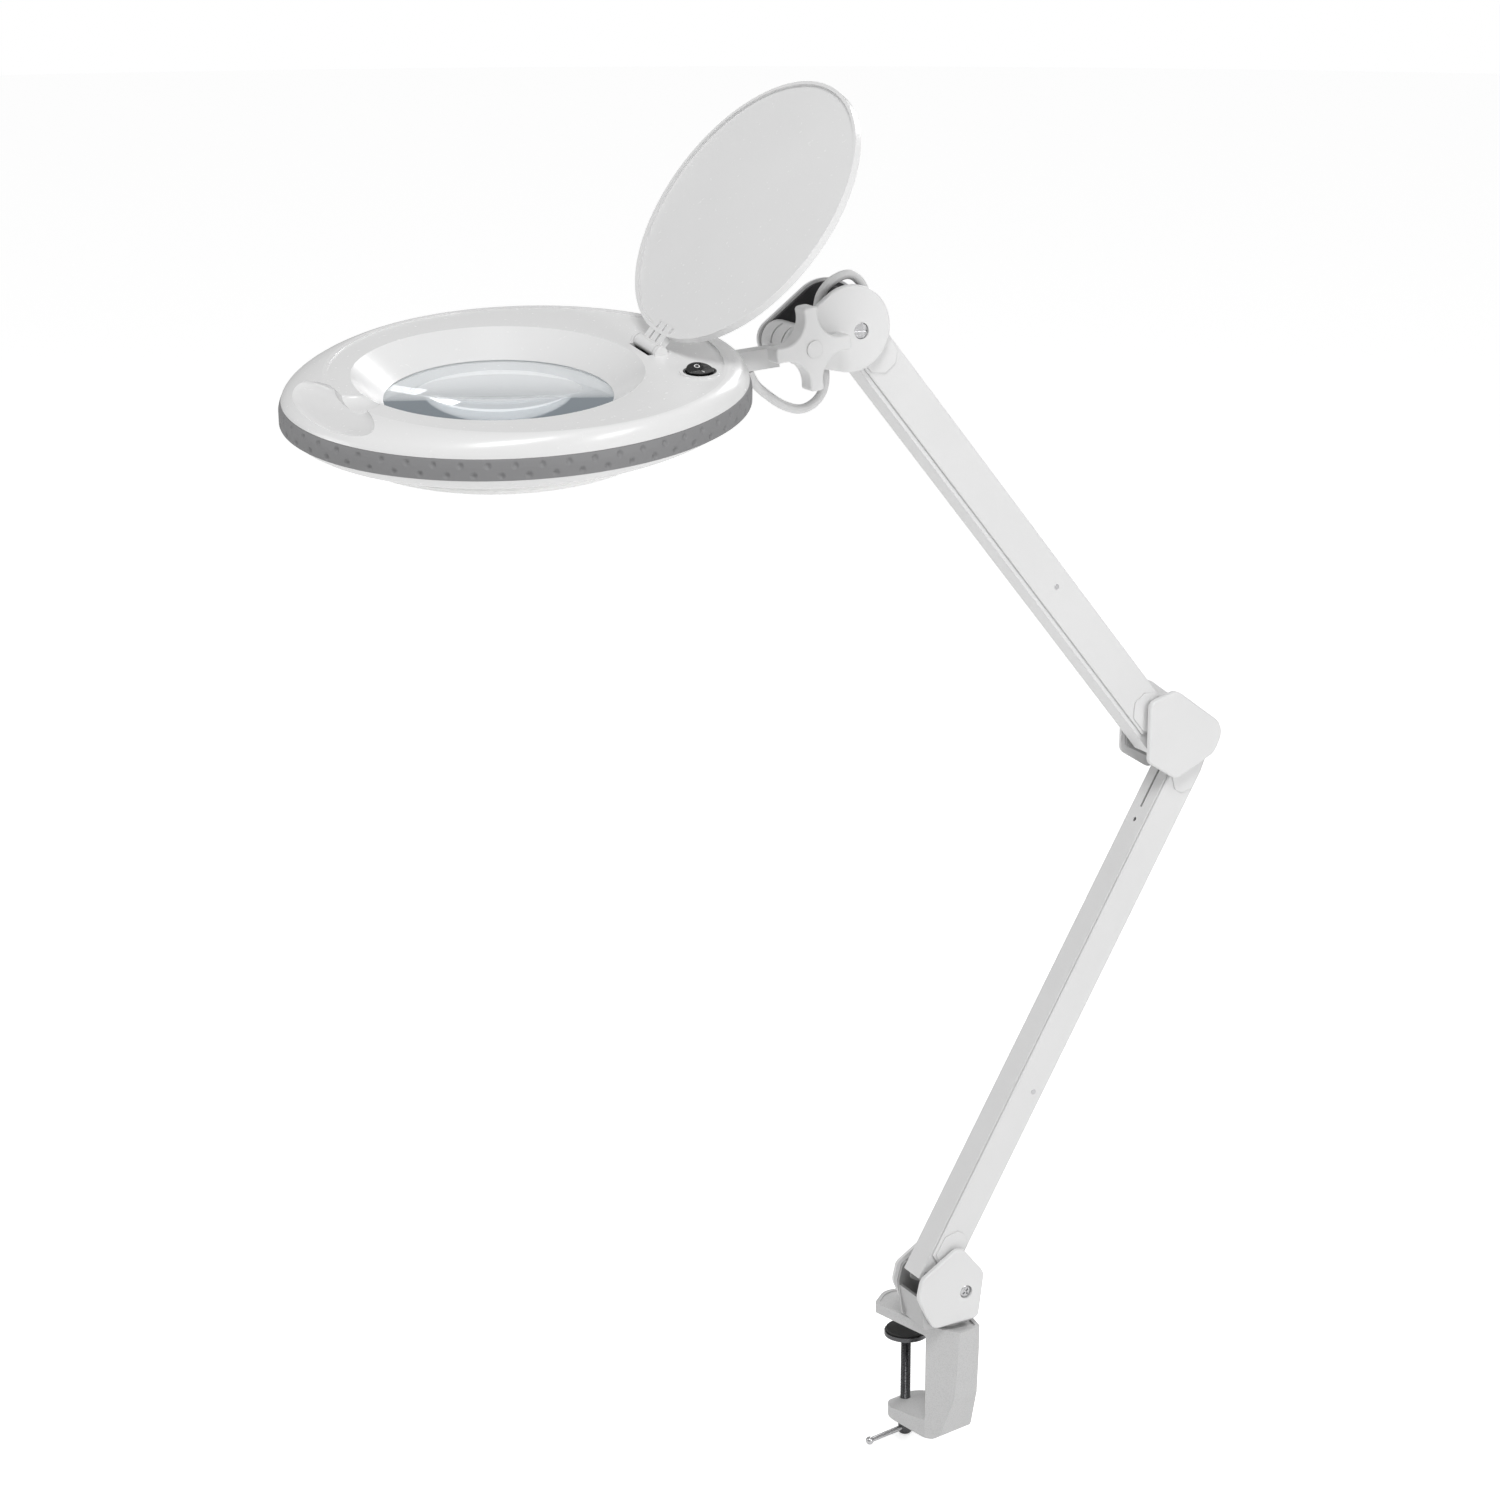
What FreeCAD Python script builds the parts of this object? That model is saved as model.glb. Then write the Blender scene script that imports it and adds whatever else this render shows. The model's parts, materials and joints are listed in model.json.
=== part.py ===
import FreeCAD, Part
import math
import os
import re
from types import SimpleNamespace

from FreeCAD import Placement, Rotation, Vector

# Magnifying lamp on a two-bar spring arm with a table clamp.  Millimetres, +Z up.
# The origin is on the clamp screw's axis, at the underside of the top jaw.  The arms
# swing in a plane parallel to X-Z, the head reaches towards -X and the table edge
# goes into the clamp from +Y.

SIZES = {
    # fits
    "pin_gap": 0.05, "side_gap": 0.2, "rest_gap": 0.3,
    # clamp
    "clamp_turn": 13, "jaw_half": 16, "jaw_thick": 6.5, "jaw_rim": 2.5, "jaw_dish": 0.8,
    "jaw_side": 9.5, "jaw_tip": 19, "jaw_back": 33.5, "spine_depth": 20, "ridge_half": 7.8,
    "bevel_top": 36, "bevel_depth": 12, "spine_taper": 3, "throat": 55, "jaw_bulge": 2,
    "toe_round": 12, "toe_reach": 5, "toe_thick": 7, "jaw_slope": 2,
    "post_back": 32, "post_radius": 6, "post_top": 22,
    "washer_radius": 10, "washer_thick": 2.3,
    # clamp screw
    "screw_radius": 3, "screw_neck": 2.5, "collar_radius": 4, "collar_gap": 6,
    "collar_length": 8, "pad_radius": 12.75, "pad_top": 11, "pad_thick": 2.5,
    "rubber_thick": 1.5, "pad_hub_radius": 5, "pad_hub_length": 4, "bar_radius": 1.6,
    "bar_ball": 2.4, "bar_long": 28.5, "bar_short": 15, "bar_turn": 194, "bar_set": 4.3,
    # brackets and covers, measured sideways from the arms' plane
    "plate_thick": 2, "cover_thick": 3, "cover_soft": 1.2,
    "main_pin": 2, "link_pin": 1.5, "spacer_radius": 2.5, "cover_screw": 3.6,
    "cover_screw_depth": 1.5, "bracket_floor": 2.5, "strap_x": 16.6, "strap_thick": 1.6,
    # lower arm
    "lower_angle": 60.3, "lower_length": 340, "lower_x": -4.7, "lower_z": 37.2,
    "lower_back": 9.5, "lower_front": 9.5, "lower_offset": 7,
    # upper arm
    "upper_angle": 129.2, "upper_length": 318, "elbow_back": -25.25, "elbow_rise": 6.97,
    "upper_back": 13, "upper_front": 9, "upper_offset": 8,
    # channels and links
    "channel_width": 20, "channel_wall": 1.2, "end_radius": 8, "end_slope": 14,
    "notch_length": 8.5, "notch_web": 1.9,
    "cable_slot": 26, "link_clear": 0.4, "link_wall": 1, "link_depth": 7, "link_end": 4,
    "fitting_thick": 0.8, "fitting_reach": 30, "slot_length": 25, "slot_width": 1.6,
    "spring_radius": 2.7, "spring_bore": 1.9, "spring_wire": 0.7, "spring_side": 3.8,
    "spring_reach": 120, "anchor_offset": 3, "spring_start": 14,
    # head bracket, knob and neck
    "knuckle_back": -34.8, "knuckle_rise": -5.03, "disc_radius": 22.9, "ear_radius": 10.5,
    "bolt_radius": 3, "bolt_head": 5.5, "bolt_head_thick": 4, "friction_radius": 9,
    "friction_thick": 1.9, "knob_gap": 0.1, "knob_radius": 22, "knob_thick": 11, "knob_scallop": 13.5,
    "scallop_distance": 24.5, "knob_turn": 6, "cap_radius": 4.5, "cap_thick": 0.8,
    "neck_height": 10.5, "neck_width": 9, "neck_drop": 6.4, "neck_reach": 33,
    "spigot_radius": 4, "spigot_reach": 70, "cable_radius": 2.5, "cable_clear": 0.8,
    # head, in the head's own frame: origin on the lens axis at the glass, x to the neck
    "neck_bare": 34.5, "head_rise": 2, "head_pitch": -3.77, "head_roll": 7.89,
    "head_shift": 10.3, "head_long": 120, "head_wide": 103.5,
    "tray_shift": 15.4, "tray_long": 102, "tray_wide": 99, "tray_top": 13.7,
    "tray_floor": 13, "ridge_width": 2.2, "shell_wall": 2.5, "band_top": 3.5,
    "band_bottom": -7.3, "band_bulge": 1.3, "band_thick": 3, "shell_joint": -2,
    "shell_bottom": -16, "cone_flare": 15.8,
    "lens_radius": 63.5, "lens_edge": 3, "lens_curve": 348, "lens_edge_top": -1.4,
    "lens_clear": 0.3, "lens_lap": 5.8, "pocket_wall": 2.4, "pocket_foot": -5,
    "retainer_lap": 3.5, "retainer_top": -5.1, "chamber_top": -10, "tube_lap": 5,
    "ring_room": 22.5, "tube_wall": 2, "ring_bottom": -22.5, "ring_floor": 2, "board_thick": 1.5,
    "led_count": 36, "led_thick": 0.9,
    "recess_x": -95, "recess_y": -12, "recess_z": 12.5, "recess_long": 45,
    "recess_wide": 15, "recess_deep": 6.5, "thumb_x": -82, "thumb_radius": 13,
    "thumb_deep": 4.5, "switch_x": 89, "switch_y": -47, "switch_radius": 8.5,
    "switch_wall": 1, "rocker_radius": 7, "rocker_pivot": 11.5, "rocker_tilt": 6,
    "surround_width": 1.6, "surround_rise": 0.9,
    # lid
    "hinge_set": 8, "hinge_z": 14, "lid_lap": 2.5, "lid_thick": 2.5, "lid_lip": 1.6,
    "lid_open": 130, "hinge_pin": 1.5, "hinge_hub": 3.5, "hub_half": 10.5,
    "fin_width": 5, "fin_pitch": 6.6, "lug_thick": 3,
}



def worked_out(size):
    """Sizes that follow others, so that a new lens, channel or throat takes its seats along."""
    cone_foot = size["lens_radius"] - size["lens_lap"]
    cone_top = cone_foot + size["cone_flare"]
    lid_radius = cone_top + size["lid_lap"]
    tube_radius = size["lens_radius"] - size["tube_lap"]
    ring_inner = tube_radius + size["tube_wall"]
    clamp_drop = size["throat"] + size["toe_thick"] + size["jaw_bulge"]
    collar_top = clamp_drop + size["collar_gap"]
    return {
        "cone_foot": cone_foot, "cone_top": cone_top, "lid_radius": lid_radius,
        "hinge_x": lid_radius + size["hinge_set"], "tube_radius": tube_radius,
        "lens_pocket": size["lens_radius"] + size["lens_clear"],
        "retainer_bore": size["lens_radius"] - size["retainer_lap"],
        "chamber_radius": ring_inner + size["ring_room"],
        "led_circle": ring_inner + size["ring_room"] / 2,
        "head_reach": size["head_shift"] + size["head_long"] + size["neck_bare"],
        "clamp_drop": clamp_drop, "collar_top": collar_top,
        "bar_drop": collar_top + size["bar_set"],
        "plate_inner": size["channel_width"] / 2 + size["fitting_thick"] + size["side_gap"],
        "link_width": size["channel_width"] - 2 * (size["channel_wall"] + size["link_clear"]),
    }


SIZES.update(worked_out(SIZES))
doc = FreeCAD.newDocument("MagnifyingLamp")
sheet = doc.addObject("Spreadsheet::Sheet", "Sizes")
for row, (alias, value) in enumerate(SIZES.items(), start=1):
    sheet.set("A%d" % row, alias)
    sheet.set("B%d" % row, str(value))
    sheet.setAlias("B%d" % row, alias)
doc.recompute()
d = SimpleNamespace(**{alias: sheet.get(alias) for alias in SIZES})

ALONG_X = Rotation(Vector(0, 1, 0), 90)
ALONG_Y = Rotation(Vector(1, 0, 0), -90)
SIDEWAYS = Rotation(Vector(1, 0, 0), 90)
parts = []


def bind(text):
    """An expression on the sheet, written with the bare names of its cells."""
    return re.sub(r"[a-z][a-z_]*", lambda word: "Sizes." + word.group(0), text)


def at(x=0, y=0, z=0, turn=None):
    return Placement(Vector(x, y, z), turn or Rotation())


def solid(kind, place=None, **sizes):
    """A Part primitive whose sizes follow the sheet."""
    item = doc.addObject("Part::" + kind, kind.lower())
    for key, text in sizes.items():
        item.setExpression(key, bind(text))
    item.Placement = place or Placement()
    return item


def cylinder(radius, height, place=None):
    return solid("Cylinder", place, Radius=radius, Height=height)


def across(radius, half, x=0, z=0):
    """A cylinder along Y, as long on each side of the plane y = 0."""
    item = cylinder(radius, "2*(%s)" % half, at(x, 0, z, ALONG_Y))
    item.setExpression("Placement.Base.y", bind("-(%s)" % half))
    return item


def box(low, high):
    """A box between two corners, given as numbers worked out from the sheet."""
    item = doc.addObject("Part::Box", "box")
    item.Length, item.Width, item.Height = [b - a for a, b in zip(low, high)]
    item.Placement = at(*low)
    return item


def rod(radius, start, end):
    """A round rod between two points."""
    span = Vector(*end) - Vector(*start)
    item = solid("Cylinder", None, Radius=radius)
    item.Height = span.Length
    item.Placement = Placement(Vector(*start), Rotation(Vector(0, 0, 1), span))
    return item


def tube(outer, inner, height, place=None):
    wall = cylinder(outer, height, place)
    bore = cylinder(inner, height, place)
    return cut(wall, bore)


def cut(base, *tools, name="cut"):
    item = doc.addObject("Part::Cut", name)
    item.Base = base
    item.Tool = tools[0] if len(tools) == 1 else fuse(*tools)
    return item


def fuse(*pieces, name="fuse"):
    item = doc.addObject("Part::MultiFuse", name)
    item.Shapes = list(pieces)
    return item


def common(*pieces, name="common"):
    item = doc.addObject("Part::MultiCommon", name)
    item.Shapes = list(pieces)
    return item


def group(*pieces, name="group"):
    item = doc.addObject("Part::Compound", name)
    item.Links = list(pieces)
    return item


def outline(corners):
    """Lines and arcs round a closed polygon of (x, y, corner radius)."""
    ends = []
    for i, (x, y, radius) in enumerate(corners):
        here = Vector(x, y)
        back = Vector(*corners[i - 1][:2]) - here
        ahead = Vector(*corners[(i + 1) % len(corners)][:2]) - here
        if not radius:
            ends.append((here, None, here))
            continue
        half = back.getAngle(ahead) / 2
        reach = radius / math.tan(half)
        start = here + back.normalize() * reach
        stop = here + ahead.normalize() * reach
        bisector = (back + ahead).normalize()
        middle = here + bisector * (radius / math.sin(half) - radius)
        ends.append((start, middle, stop))
    edges = []
    for i, (start, middle, stop) in enumerate(ends):
        if middle:
            edges.append(Part.Arc(start, middle, stop))
        following = ends[(i + 1) % len(ends)][0]
        if stop.distanceToPoint(following) > 1e-6:
            edges.append(Part.LineSegment(stop, following))
    return edges


def pad_edges(edges, height, place=None, soft=None, ends=("top",)):
    """A body padded from a closed run of edges, the edges of its ends rounded by soft."""
    body = doc.addObject("PartDesign::Body", "body")
    sketch = body.newObject("Sketcher::SketchObject", "sketch")
    plane = [f for f in body.Origin.OriginFeatures if f.Role == "XY_Plane"][0]
    sketch.AttachmentSupport = [(plane, "")]
    sketch.MapMode = "FlatFace"
    sketch.addGeometry(edges, False)
    feature = body.newObject("PartDesign::Pad", "pad")
    feature.Profile = sketch
    feature.setExpression("Length", bind(height))
    doc.recompute()
    if soft:
        levels = [feature.Shape.BoundBox.ZMax if end == "top" else 0 for end in ends]
        names = []
        for i, edge in enumerate(feature.Shape.Edges, start=1):
            flat = edge.BoundBox.ZMax - edge.BoundBox.ZMin < 1e-6
            if flat and any(abs(edge.BoundBox.ZMax - level) < 1e-6 for level in levels):
                names.append("Edge%d" % i)
        rounding = body.newObject("PartDesign::Fillet", "fillet")
        rounding.Base = (feature, names)
        rounding.setExpression("Radius", bind(soft))
    body.Placement = place or Placement()
    return body


def pad(corners, height, place=None, soft=None, ends=("top",)):
    """A body padded from a rounded outline of (x, y, corner radius)."""
    return pad_edges(outline(corners), height, place, soft, ends)


def ellipse(long, wide, x, z):
    """A level ellipse, longest along X."""
    ring = doc.addObject("Part::Ellipse", "ring")
    ring.MajorRadius = long
    ring.MinorRadius = wide
    ring.Placement = at(x, 0, z)
    return ring


def loft(sections):
    """A smooth loft through level ellipses of (half length, half width, x, z)."""
    item = doc.addObject("Part::Loft", "loft")
    item.Sections = [ellipse(*section) for section in sections]
    item.Solid = True
    item.Ruled = len(sections) == 2
    return item


def prism(long, wide, x, low, high):
    """An upright elliptical prism between two heights."""
    item = doc.addObject("Part::Extrusion", "prism")
    item.Base = ellipse(long, wide, x, low)
    item.DirMode = "Custom"
    item.Dir = Vector(0, 0, 1)
    item.LengthFwd = high - low
    item.Solid = True
    return item


def part(name, item, place=None):
    """Name a finished sub-part and set it in its place."""
    item.Label = name
    if place:
        item.Placement = place.multiply(item.Placement)
    parts.append(item)
    return item


# ---------------------------------------------------------------- clamp

SPINE_BACK = d.jaw_back + d.spine_depth
ARM_PLACE = at(0, -d.post_back, 0)
POST_X = d.post_back * math.tan(math.radians(d.clamp_turn))


def clamp_frame():
    throat = d.throat - d.jaw_slope
    side = pad([
        (-SPINE_BACK, d.jaw_thick, 0), (d.jaw_tip, d.jaw_thick, 1.5),
        (d.jaw_tip, 0, 1.5), (-d.jaw_back, 0, 1.5), (-d.jaw_back, -throat, 3),
        (d.toe_reach, -d.throat - 1, 1.5), (d.toe_reach, -d.throat - d.toe_thick, 2.5),
        (-d.jaw_back + 2, -d.clamp_drop, 0),
        (-SPINE_BACK + d.bevel_depth, -d.clamp_drop, 8),
        (-SPINE_BACK + d.spine_taper, -d.bevel_top, 6),
    ], "2*jaw_half", at(-d.jaw_half, 0, 0, Rotation(Vector(1, 1, 1), 120)))

    def plan(shrink):
        half = d.jaw_half - shrink
        return [
            (-half, -d.jaw_back + shrink, 2), (-d.ridge_half + shrink / 2, -SPINE_BACK + shrink, 2),
            (d.ridge_half - shrink / 2, -SPINE_BACK + shrink, 2), (half, -d.jaw_back + shrink, 2),
            (half, d.jaw_side - shrink / 2, 2), (0, d.jaw_tip - shrink, 12),
            (-half, d.jaw_side - shrink / 2, 2),
        ]

    upper = pad(plan(0), "jaw_thick+throat-8", at(0, 0, 8 - d.throat))
    lower = pad([
        (-d.jaw_half, -d.jaw_back, 2), (-d.ridge_half, -SPINE_BACK, 2),
        (d.ridge_half, -SPINE_BACK, 2), (d.jaw_half, -d.jaw_back, 2),
        (d.jaw_half, d.toe_reach, d.toe_round), (-d.jaw_half, d.toe_reach, d.toe_round),
    ], "clamp_drop", at(0, 0, 8 - d.throat - d.clamp_drop))
    blank = common(side, fuse(upper, lower))
    dish = pad(plan(d.jaw_rim), "jaw_dish+1", at(0, 0, d.jaw_thick - d.jaw_dish))
    screw_hole = cylinder("screw_radius+pin_gap", "clamp_drop", at(0, 0, -d.clamp_drop - 10))
    frame = cut(blank, dish, screw_hole, name="turned_frame")
    frame.Placement = at(turn=Rotation(Vector(0, 0, 1), d.clamp_turn))
    post_hole = cylinder("post_radius", "3*jaw_thick", at(POST_X, -d.post_back, -d.jaw_thick))
    part("clamp_frame", cut(frame, post_hole, name="clamp_frame"))


def clamp_parts():
    floor = d.jaw_thick - d.jaw_dish
    post = cylinder("post_radius", "post_top-1", at(POST_X, -d.post_back, 1))
    flange = cylinder("post_radius+2.5", "1.4", at(POST_X, -d.post_back, d.post_top))
    cap = cylinder("post_radius", "1.6", at(POST_X, -d.post_back, d.post_top - 0.1))
    part("pivot_post", fuse(post, flange, cap, name="pivot_post"))
    washer = tube("washer_radius", "post_radius+side_gap", "washer_thick")
    part("swivel_washer", washer, at(POST_X, -d.post_back, floor))

    disc = cylinder("pad_radius", "pad_thick", at(0, 0, -d.pad_top - d.rubber_thick - d.pad_thick))
    hub_top = -d.pad_top - d.rubber_thick - d.pad_thick
    hub = solid("Cone", at(0, 0, hub_top - d.pad_hub_length), Radius1="pad_hub_radius-1",
                Radius2="pad_hub_radius+2", Height="pad_hub_length")
    socket = cylinder("screw_neck+pin_gap", "pad_hub_length+pad_thick-1",
                      at(0, 0, hub_top - d.pad_hub_length))
    part("pad_disc", cut(fuse(disc, hub), socket, name="pad_disc"))
    rubber = cylinder("pad_radius-1", "rubber_thick", at(0, 0, -d.pad_top - d.rubber_thick))
    part("pad_rubber", rubber)

    shoulder = hub_top - d.pad_hub_length - d.pin_gap
    shaft = rod("screw_radius", (0, 0, -d.collar_top - 1), (0, 0, shoulder))
    neck = rod("screw_neck", (0, 0, shoulder - 1), (0, 0, hub_top + d.pad_thick - 1.1))
    collar = cylinder("collar_radius", "collar_length",
                      at(0, 0, -d.collar_top - d.collar_length))
    heading = math.radians(d.bar_turn)
    ahead = Vector(math.cos(heading), math.sin(heading), 0)
    drop = Vector(0, 0, -d.bar_drop)
    cross = rod("bar_radius+pin_gap", drop - ahead * 10, drop + ahead * 10)
    part("clamp_screw", cut(fuse(shaft, neck, collar), cross, name="clamp_screw"))

    bar = rod("bar_radius", drop - ahead * d.bar_short, drop + ahead * d.bar_long)
    balls = []
    for reach in (-d.bar_short, d.bar_long):
        lying = Placement(drop + ahead * reach, Rotation(Vector(0, 0, 1), ahead))
        balls.append(solid("Sphere", lying, Radius="bar_ball"))
    part("tommy_bar", fuse(bar, *balls, name="tommy_bar"))


# ---------------------------------------------------------------- brackets

COVER_INNER = d.plate_inner + d.plate_thick
COVER_OUTER = COVER_INNER + d.cover_thick
BASE_FLOOR = d.jaw_thick - d.jaw_dish + d.washer_thick
BASE_SCREW = (11.4, 28.2)


def side_pair(corners, inner, thick, soft=None):
    """Two pads, near (towards -Y) and far, both at the same distance from the arms' plane."""
    near = pad(corners, thick, at(0, -inner, 0, SIDEWAYS), soft)
    mirrored = [(-x, z, radius) for x, z, radius in reversed(corners)]
    far = pad(mirrored, thick, at(0, inner, 0, Rotation(Vector(0, 0, 1), 180) * SIDEWAYS), soft)
    return near, far


def cover_screws(name, x, z, radius):
    """One screw head in each cover, its face below the cover's own."""
    heads = []
    for side in (-1, 1):
        outer = side * (COVER_OUTER - 0.8)
        inner = side * (COVER_OUTER - 0.8 - d.cover_screw_depth)
        head = rod(radius, (x, inner, z), (x, outer, z))
        shank = rod("1.5", (x, side * (d.plate_inner + 0.5), z), (x, inner, z))
        heads.append(fuse(head, shank))
    part(name, group(*heads, name=name), ARM_PLACE)


def cover_pair(prefix, corners, holes=()):
    """Covers with their screw recesses."""
    for name, blank in zip(("near", "far"), side_pair(corners, COVER_INNER, "cover_thick",
                                                      "cover_soft")):
        tools = []
        side = -1 if name == "near" else 1
        for x, z, radius in holes:
            start = (x, side * (COVER_INNER - 1), z)
            tools.append(rod(radius, start, (x, side * (COVER_OUTER + 1), z)))
        label = "%s_cover_%s" % (prefix, name)
        item = cut(blank, *tools, name=label) if tools else blank
        part(label, item, ARM_PLACE)


def pins(name, spots, half):
    """Pivot pins across the bracket at (x, z, radius name)."""
    part(name, group(*[across(radius, half, x, z) for x, z, radius in spots], name=name),
         ARM_PLACE)


def along(angle):
    turn = math.radians(angle)
    return math.cos(turn), math.sin(turn)


def pivots(x, z, angle, offset, length):
    """Main and link pivots at both ends of an arm."""
    ux, uz = along(angle)
    link_x, link_z = x - uz * offset, z + ux * offset
    return ((x, z), (link_x, link_z), (x + ux * length, z + uz * length),
            (link_x + ux * length, link_z + uz * length))


LOWER = pivots(d.lower_x, d.lower_z, d.lower_angle, d.lower_offset, d.lower_length)
UPPER = pivots(LOWER[2][0] + d.elbow_back, LOWER[2][1] + d.elbow_rise, d.upper_angle, d.upper_offset, d.upper_length)
KNUCKLE = (UPPER[2][0] + d.knuckle_back, UPPER[2][1] + d.knuckle_rise)


def base():
    plate = [
        (-14.5, BASE_FLOOR, 3), (17, BASE_FLOOR, 3), (20, 36, 4), (7, 52, 5), (-15, 40, 4),
        (-17.5, 30, 4),
    ]
    near, far = side_pair(plate, d.plate_inner, "plate_thick")
    floor = box((-9, -d.plate_inner - 0.5, BASE_FLOOR),
                (d.strap_x, d.plate_inner + 0.5, BASE_FLOOR + d.bracket_floor))
    web = pad([
        (-12.6, BASE_FLOOR, 0), (-10.6, BASE_FLOOR, 0), (-13, 18, 0), (-15.2, 28, 0),
        (-17, 28, 0), (-15, 18, 0),
    ], "2*plate_inner+1", at(0, d.plate_inner + 0.5, 0, SIDEWAYS))
    hub = cylinder("post_radius+2", "post_top-0.5", at(POST_X, 0, 0))
    below = box((-20, -20, -1), (30, 20, BASE_FLOOR))
    bore = cylinder("post_radius+pin_gap", "2*post_top", at(POST_X, 0, -1))
    holes = [across("main_pin", "15", *LOWER[0]), across("link_pin", "15", *LOWER[1]),
             across("1.5", "15", *BASE_SCREW)]
    blank = cut(fuse(near, far, floor, web, hub), below, bore, *holes, name="base_bracket")
    part("base_bracket", blank, ARM_PLACE)
    cover_pair("base", [
        (-9.5, 9.2, 5), (20, 10.6, 4), (23.5, 38, 7), (7.5, 57, 6), (-17.5, 41, 6),
        (-20, 30, 8), (-14.5, 18, 12),
    ], [BASE_SCREW + ("cover_screw+0.3",)])
    pins("base_pins", [LOWER[0] + ("main_pin",), LOWER[1] + ("link_pin",)], "plate_inner+2")
    cover_screws("base_cover_screws", *BASE_SCREW, "cover_screw")
    near, far = d.strap_x, d.strap_x + d.strap_thick
    strap = box((near, -d.plate_inner, 12), (far, d.plate_inner, 22))
    strap_hole = rod("3.4", (near - 1, 0, 17), (far + 1, 0, 17))
    part("inlet_strap", cut(strap, strap_hole, name="inlet_strap"), ARM_PLACE)
    barrel = rod("3.4", (near - 1, 0, 17), (far + 5, 0, 17))
    inner_rim = rod("4.5", (near - 1, 0, 17), (near, 0, 17))
    outer_rim = rod("4.5", (far, 0, 17), (far + 1.5, 0, 17))
    way = rod("2.7", (near - 2, 0, 17), (far + 6, 0, 17))
    collar = cut(fuse(barrel, inner_rim, outer_rim), way, name="cable_grommet")
    part("cable_grommet", collar, ARM_PLACE)


def elbow():
    (ax, az), (bx, bz) = LOWER[2], LOWER[3]

    def beside(corners):
        """Corners given from the lower arm's pivot."""
        return [(ax + x, az + z, radius) for x, z, radius in corners]

    plate = beside([
        (-35.8, 24.5, 4), (-22.8, 28.5, 5), (4.2, 9.5, 8), (4.2, 0.5, 8), (-16.8, -12.5, 4),
        (-35.8, -2.5, 4),
    ])
    near, far = side_pair(plate, d.plate_inner, "plate_thick")
    spacer = across("spacer_radius", "plate_inner+0.5", ax - 4, az + 12.4)
    spots = [(ax, az, "main_pin"), (bx, bz, "link_pin"),
             UPPER[0] + ("main_pin",), UPPER[1] + ("link_pin",)]
    holes = [across(radius, "15", x, z) for x, z, radius in spots]
    part("elbow_bracket", cut(fuse(near, far, spacer), *holes, name="elbow_bracket"), ARM_PLACE)
    cover_pair("elbow", beside([
        (-38.3, 29.5, 5), (-20.8, 35, 7), (13.2, 10, 11), (6.2, -5, 9), (-19.3, -17.5, 5),
        (-38.3, -5.5, 5),
    ]))
    pins("elbow_pins", spots, "plate_inner+2")


def head_joint():
    ax, az = UPPER[2]
    kx, kz = KNUCKLE
    cx, cz = ax - 5.5, az + 1.5

    def teardrop(shrink):
        """Outer corners of a round disc and the smaller ear, joined by tangents."""
        big = d.disc_radius - shrink
        small = d.ear_radius - shrink
        span = math.hypot(kx - cx, kz - cz)
        heading = math.atan2(kz - cz, kx - cx)
        lean = math.acos((big - small) / span)
        spots = []
        for radius, x, z in ((small, kx, kz), (big, cx, cz)):
            for side in (1, -1):
                way = heading + side * lean
                spots.append(Vector(x + radius * math.cos(way), z + radius * math.sin(way)))
        tip = Vector(kx + small * math.cos(heading), kz + small * math.sin(heading))
        tail = Vector(cx - big * math.cos(heading), cz - big * math.sin(heading))
        return [Part.Arc(spots[0], tip, spots[1]), Part.LineSegment(spots[1], spots[3]),
                Part.Arc(spots[3], tail, spots[2]), Part.LineSegment(spots[2], spots[0])]

    def drop_pad(shrink, thick, y, soft=None):
        end = "bottom" if y > 0 else "top"
        return pad_edges(teardrop(shrink), thick, at(0, y, 0, SIDEWAYS), soft, (end,))

    near = drop_pad(1.5, "plate_thick", -d.plate_inner)
    far = drop_pad(1.5, "plate_thick", COVER_INNER)
    spacer = across("spacer_radius", "plate_inner+0.5", cx + 1, cz + 17)
    spots = [(ax, az, "main_pin"), UPPER[3] + ("link_pin",)]
    holes = [across(radius, "15", x, z) for x, z, radius in spots]
    holes.append(across("bolt_radius", "15", kx, kz))
    bracket = cut(fuse(near, far, spacer), *holes, name="head_bracket")
    part("head_bracket", bracket, ARM_PLACE)
    for name, y, side in (("near", -COVER_INNER, -1), ("far", COVER_OUTER, 1)):
        blank = drop_pad(0, "cover_thick", y, "cover_soft")
        outer = side * (COVER_OUTER + 1)
        recess = rod("4.3", (ax, side * (COVER_INNER - 1), az), (ax, outer, az))
        way = rod("bolt_radius", (kx, side * (COVER_INNER - 1), kz), (kx, outer, kz))
        part("head_cover_" + name, cut(blank, recess, way, name="head_cover_" + name), ARM_PLACE)
    pins("head_pins", spots, "plate_inner+2")
    heads = []
    for side in (-1, 1):
        head = rod("4", (ax, side * COVER_INNER, az), (ax, side * (COVER_OUTER - 0.9), az))
        slot_low = min(side * (COVER_OUTER - 1.8), side * COVER_OUTER)
        slot = box((ax - 5, slot_low, az - 0.5), (ax + 5, slot_low + 1.8, az + 0.5))
        heads.append(cut(head, slot))
    part("head_cover_screws", group(*heads, name="head_cover_screws"), ARM_PLACE)


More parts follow.
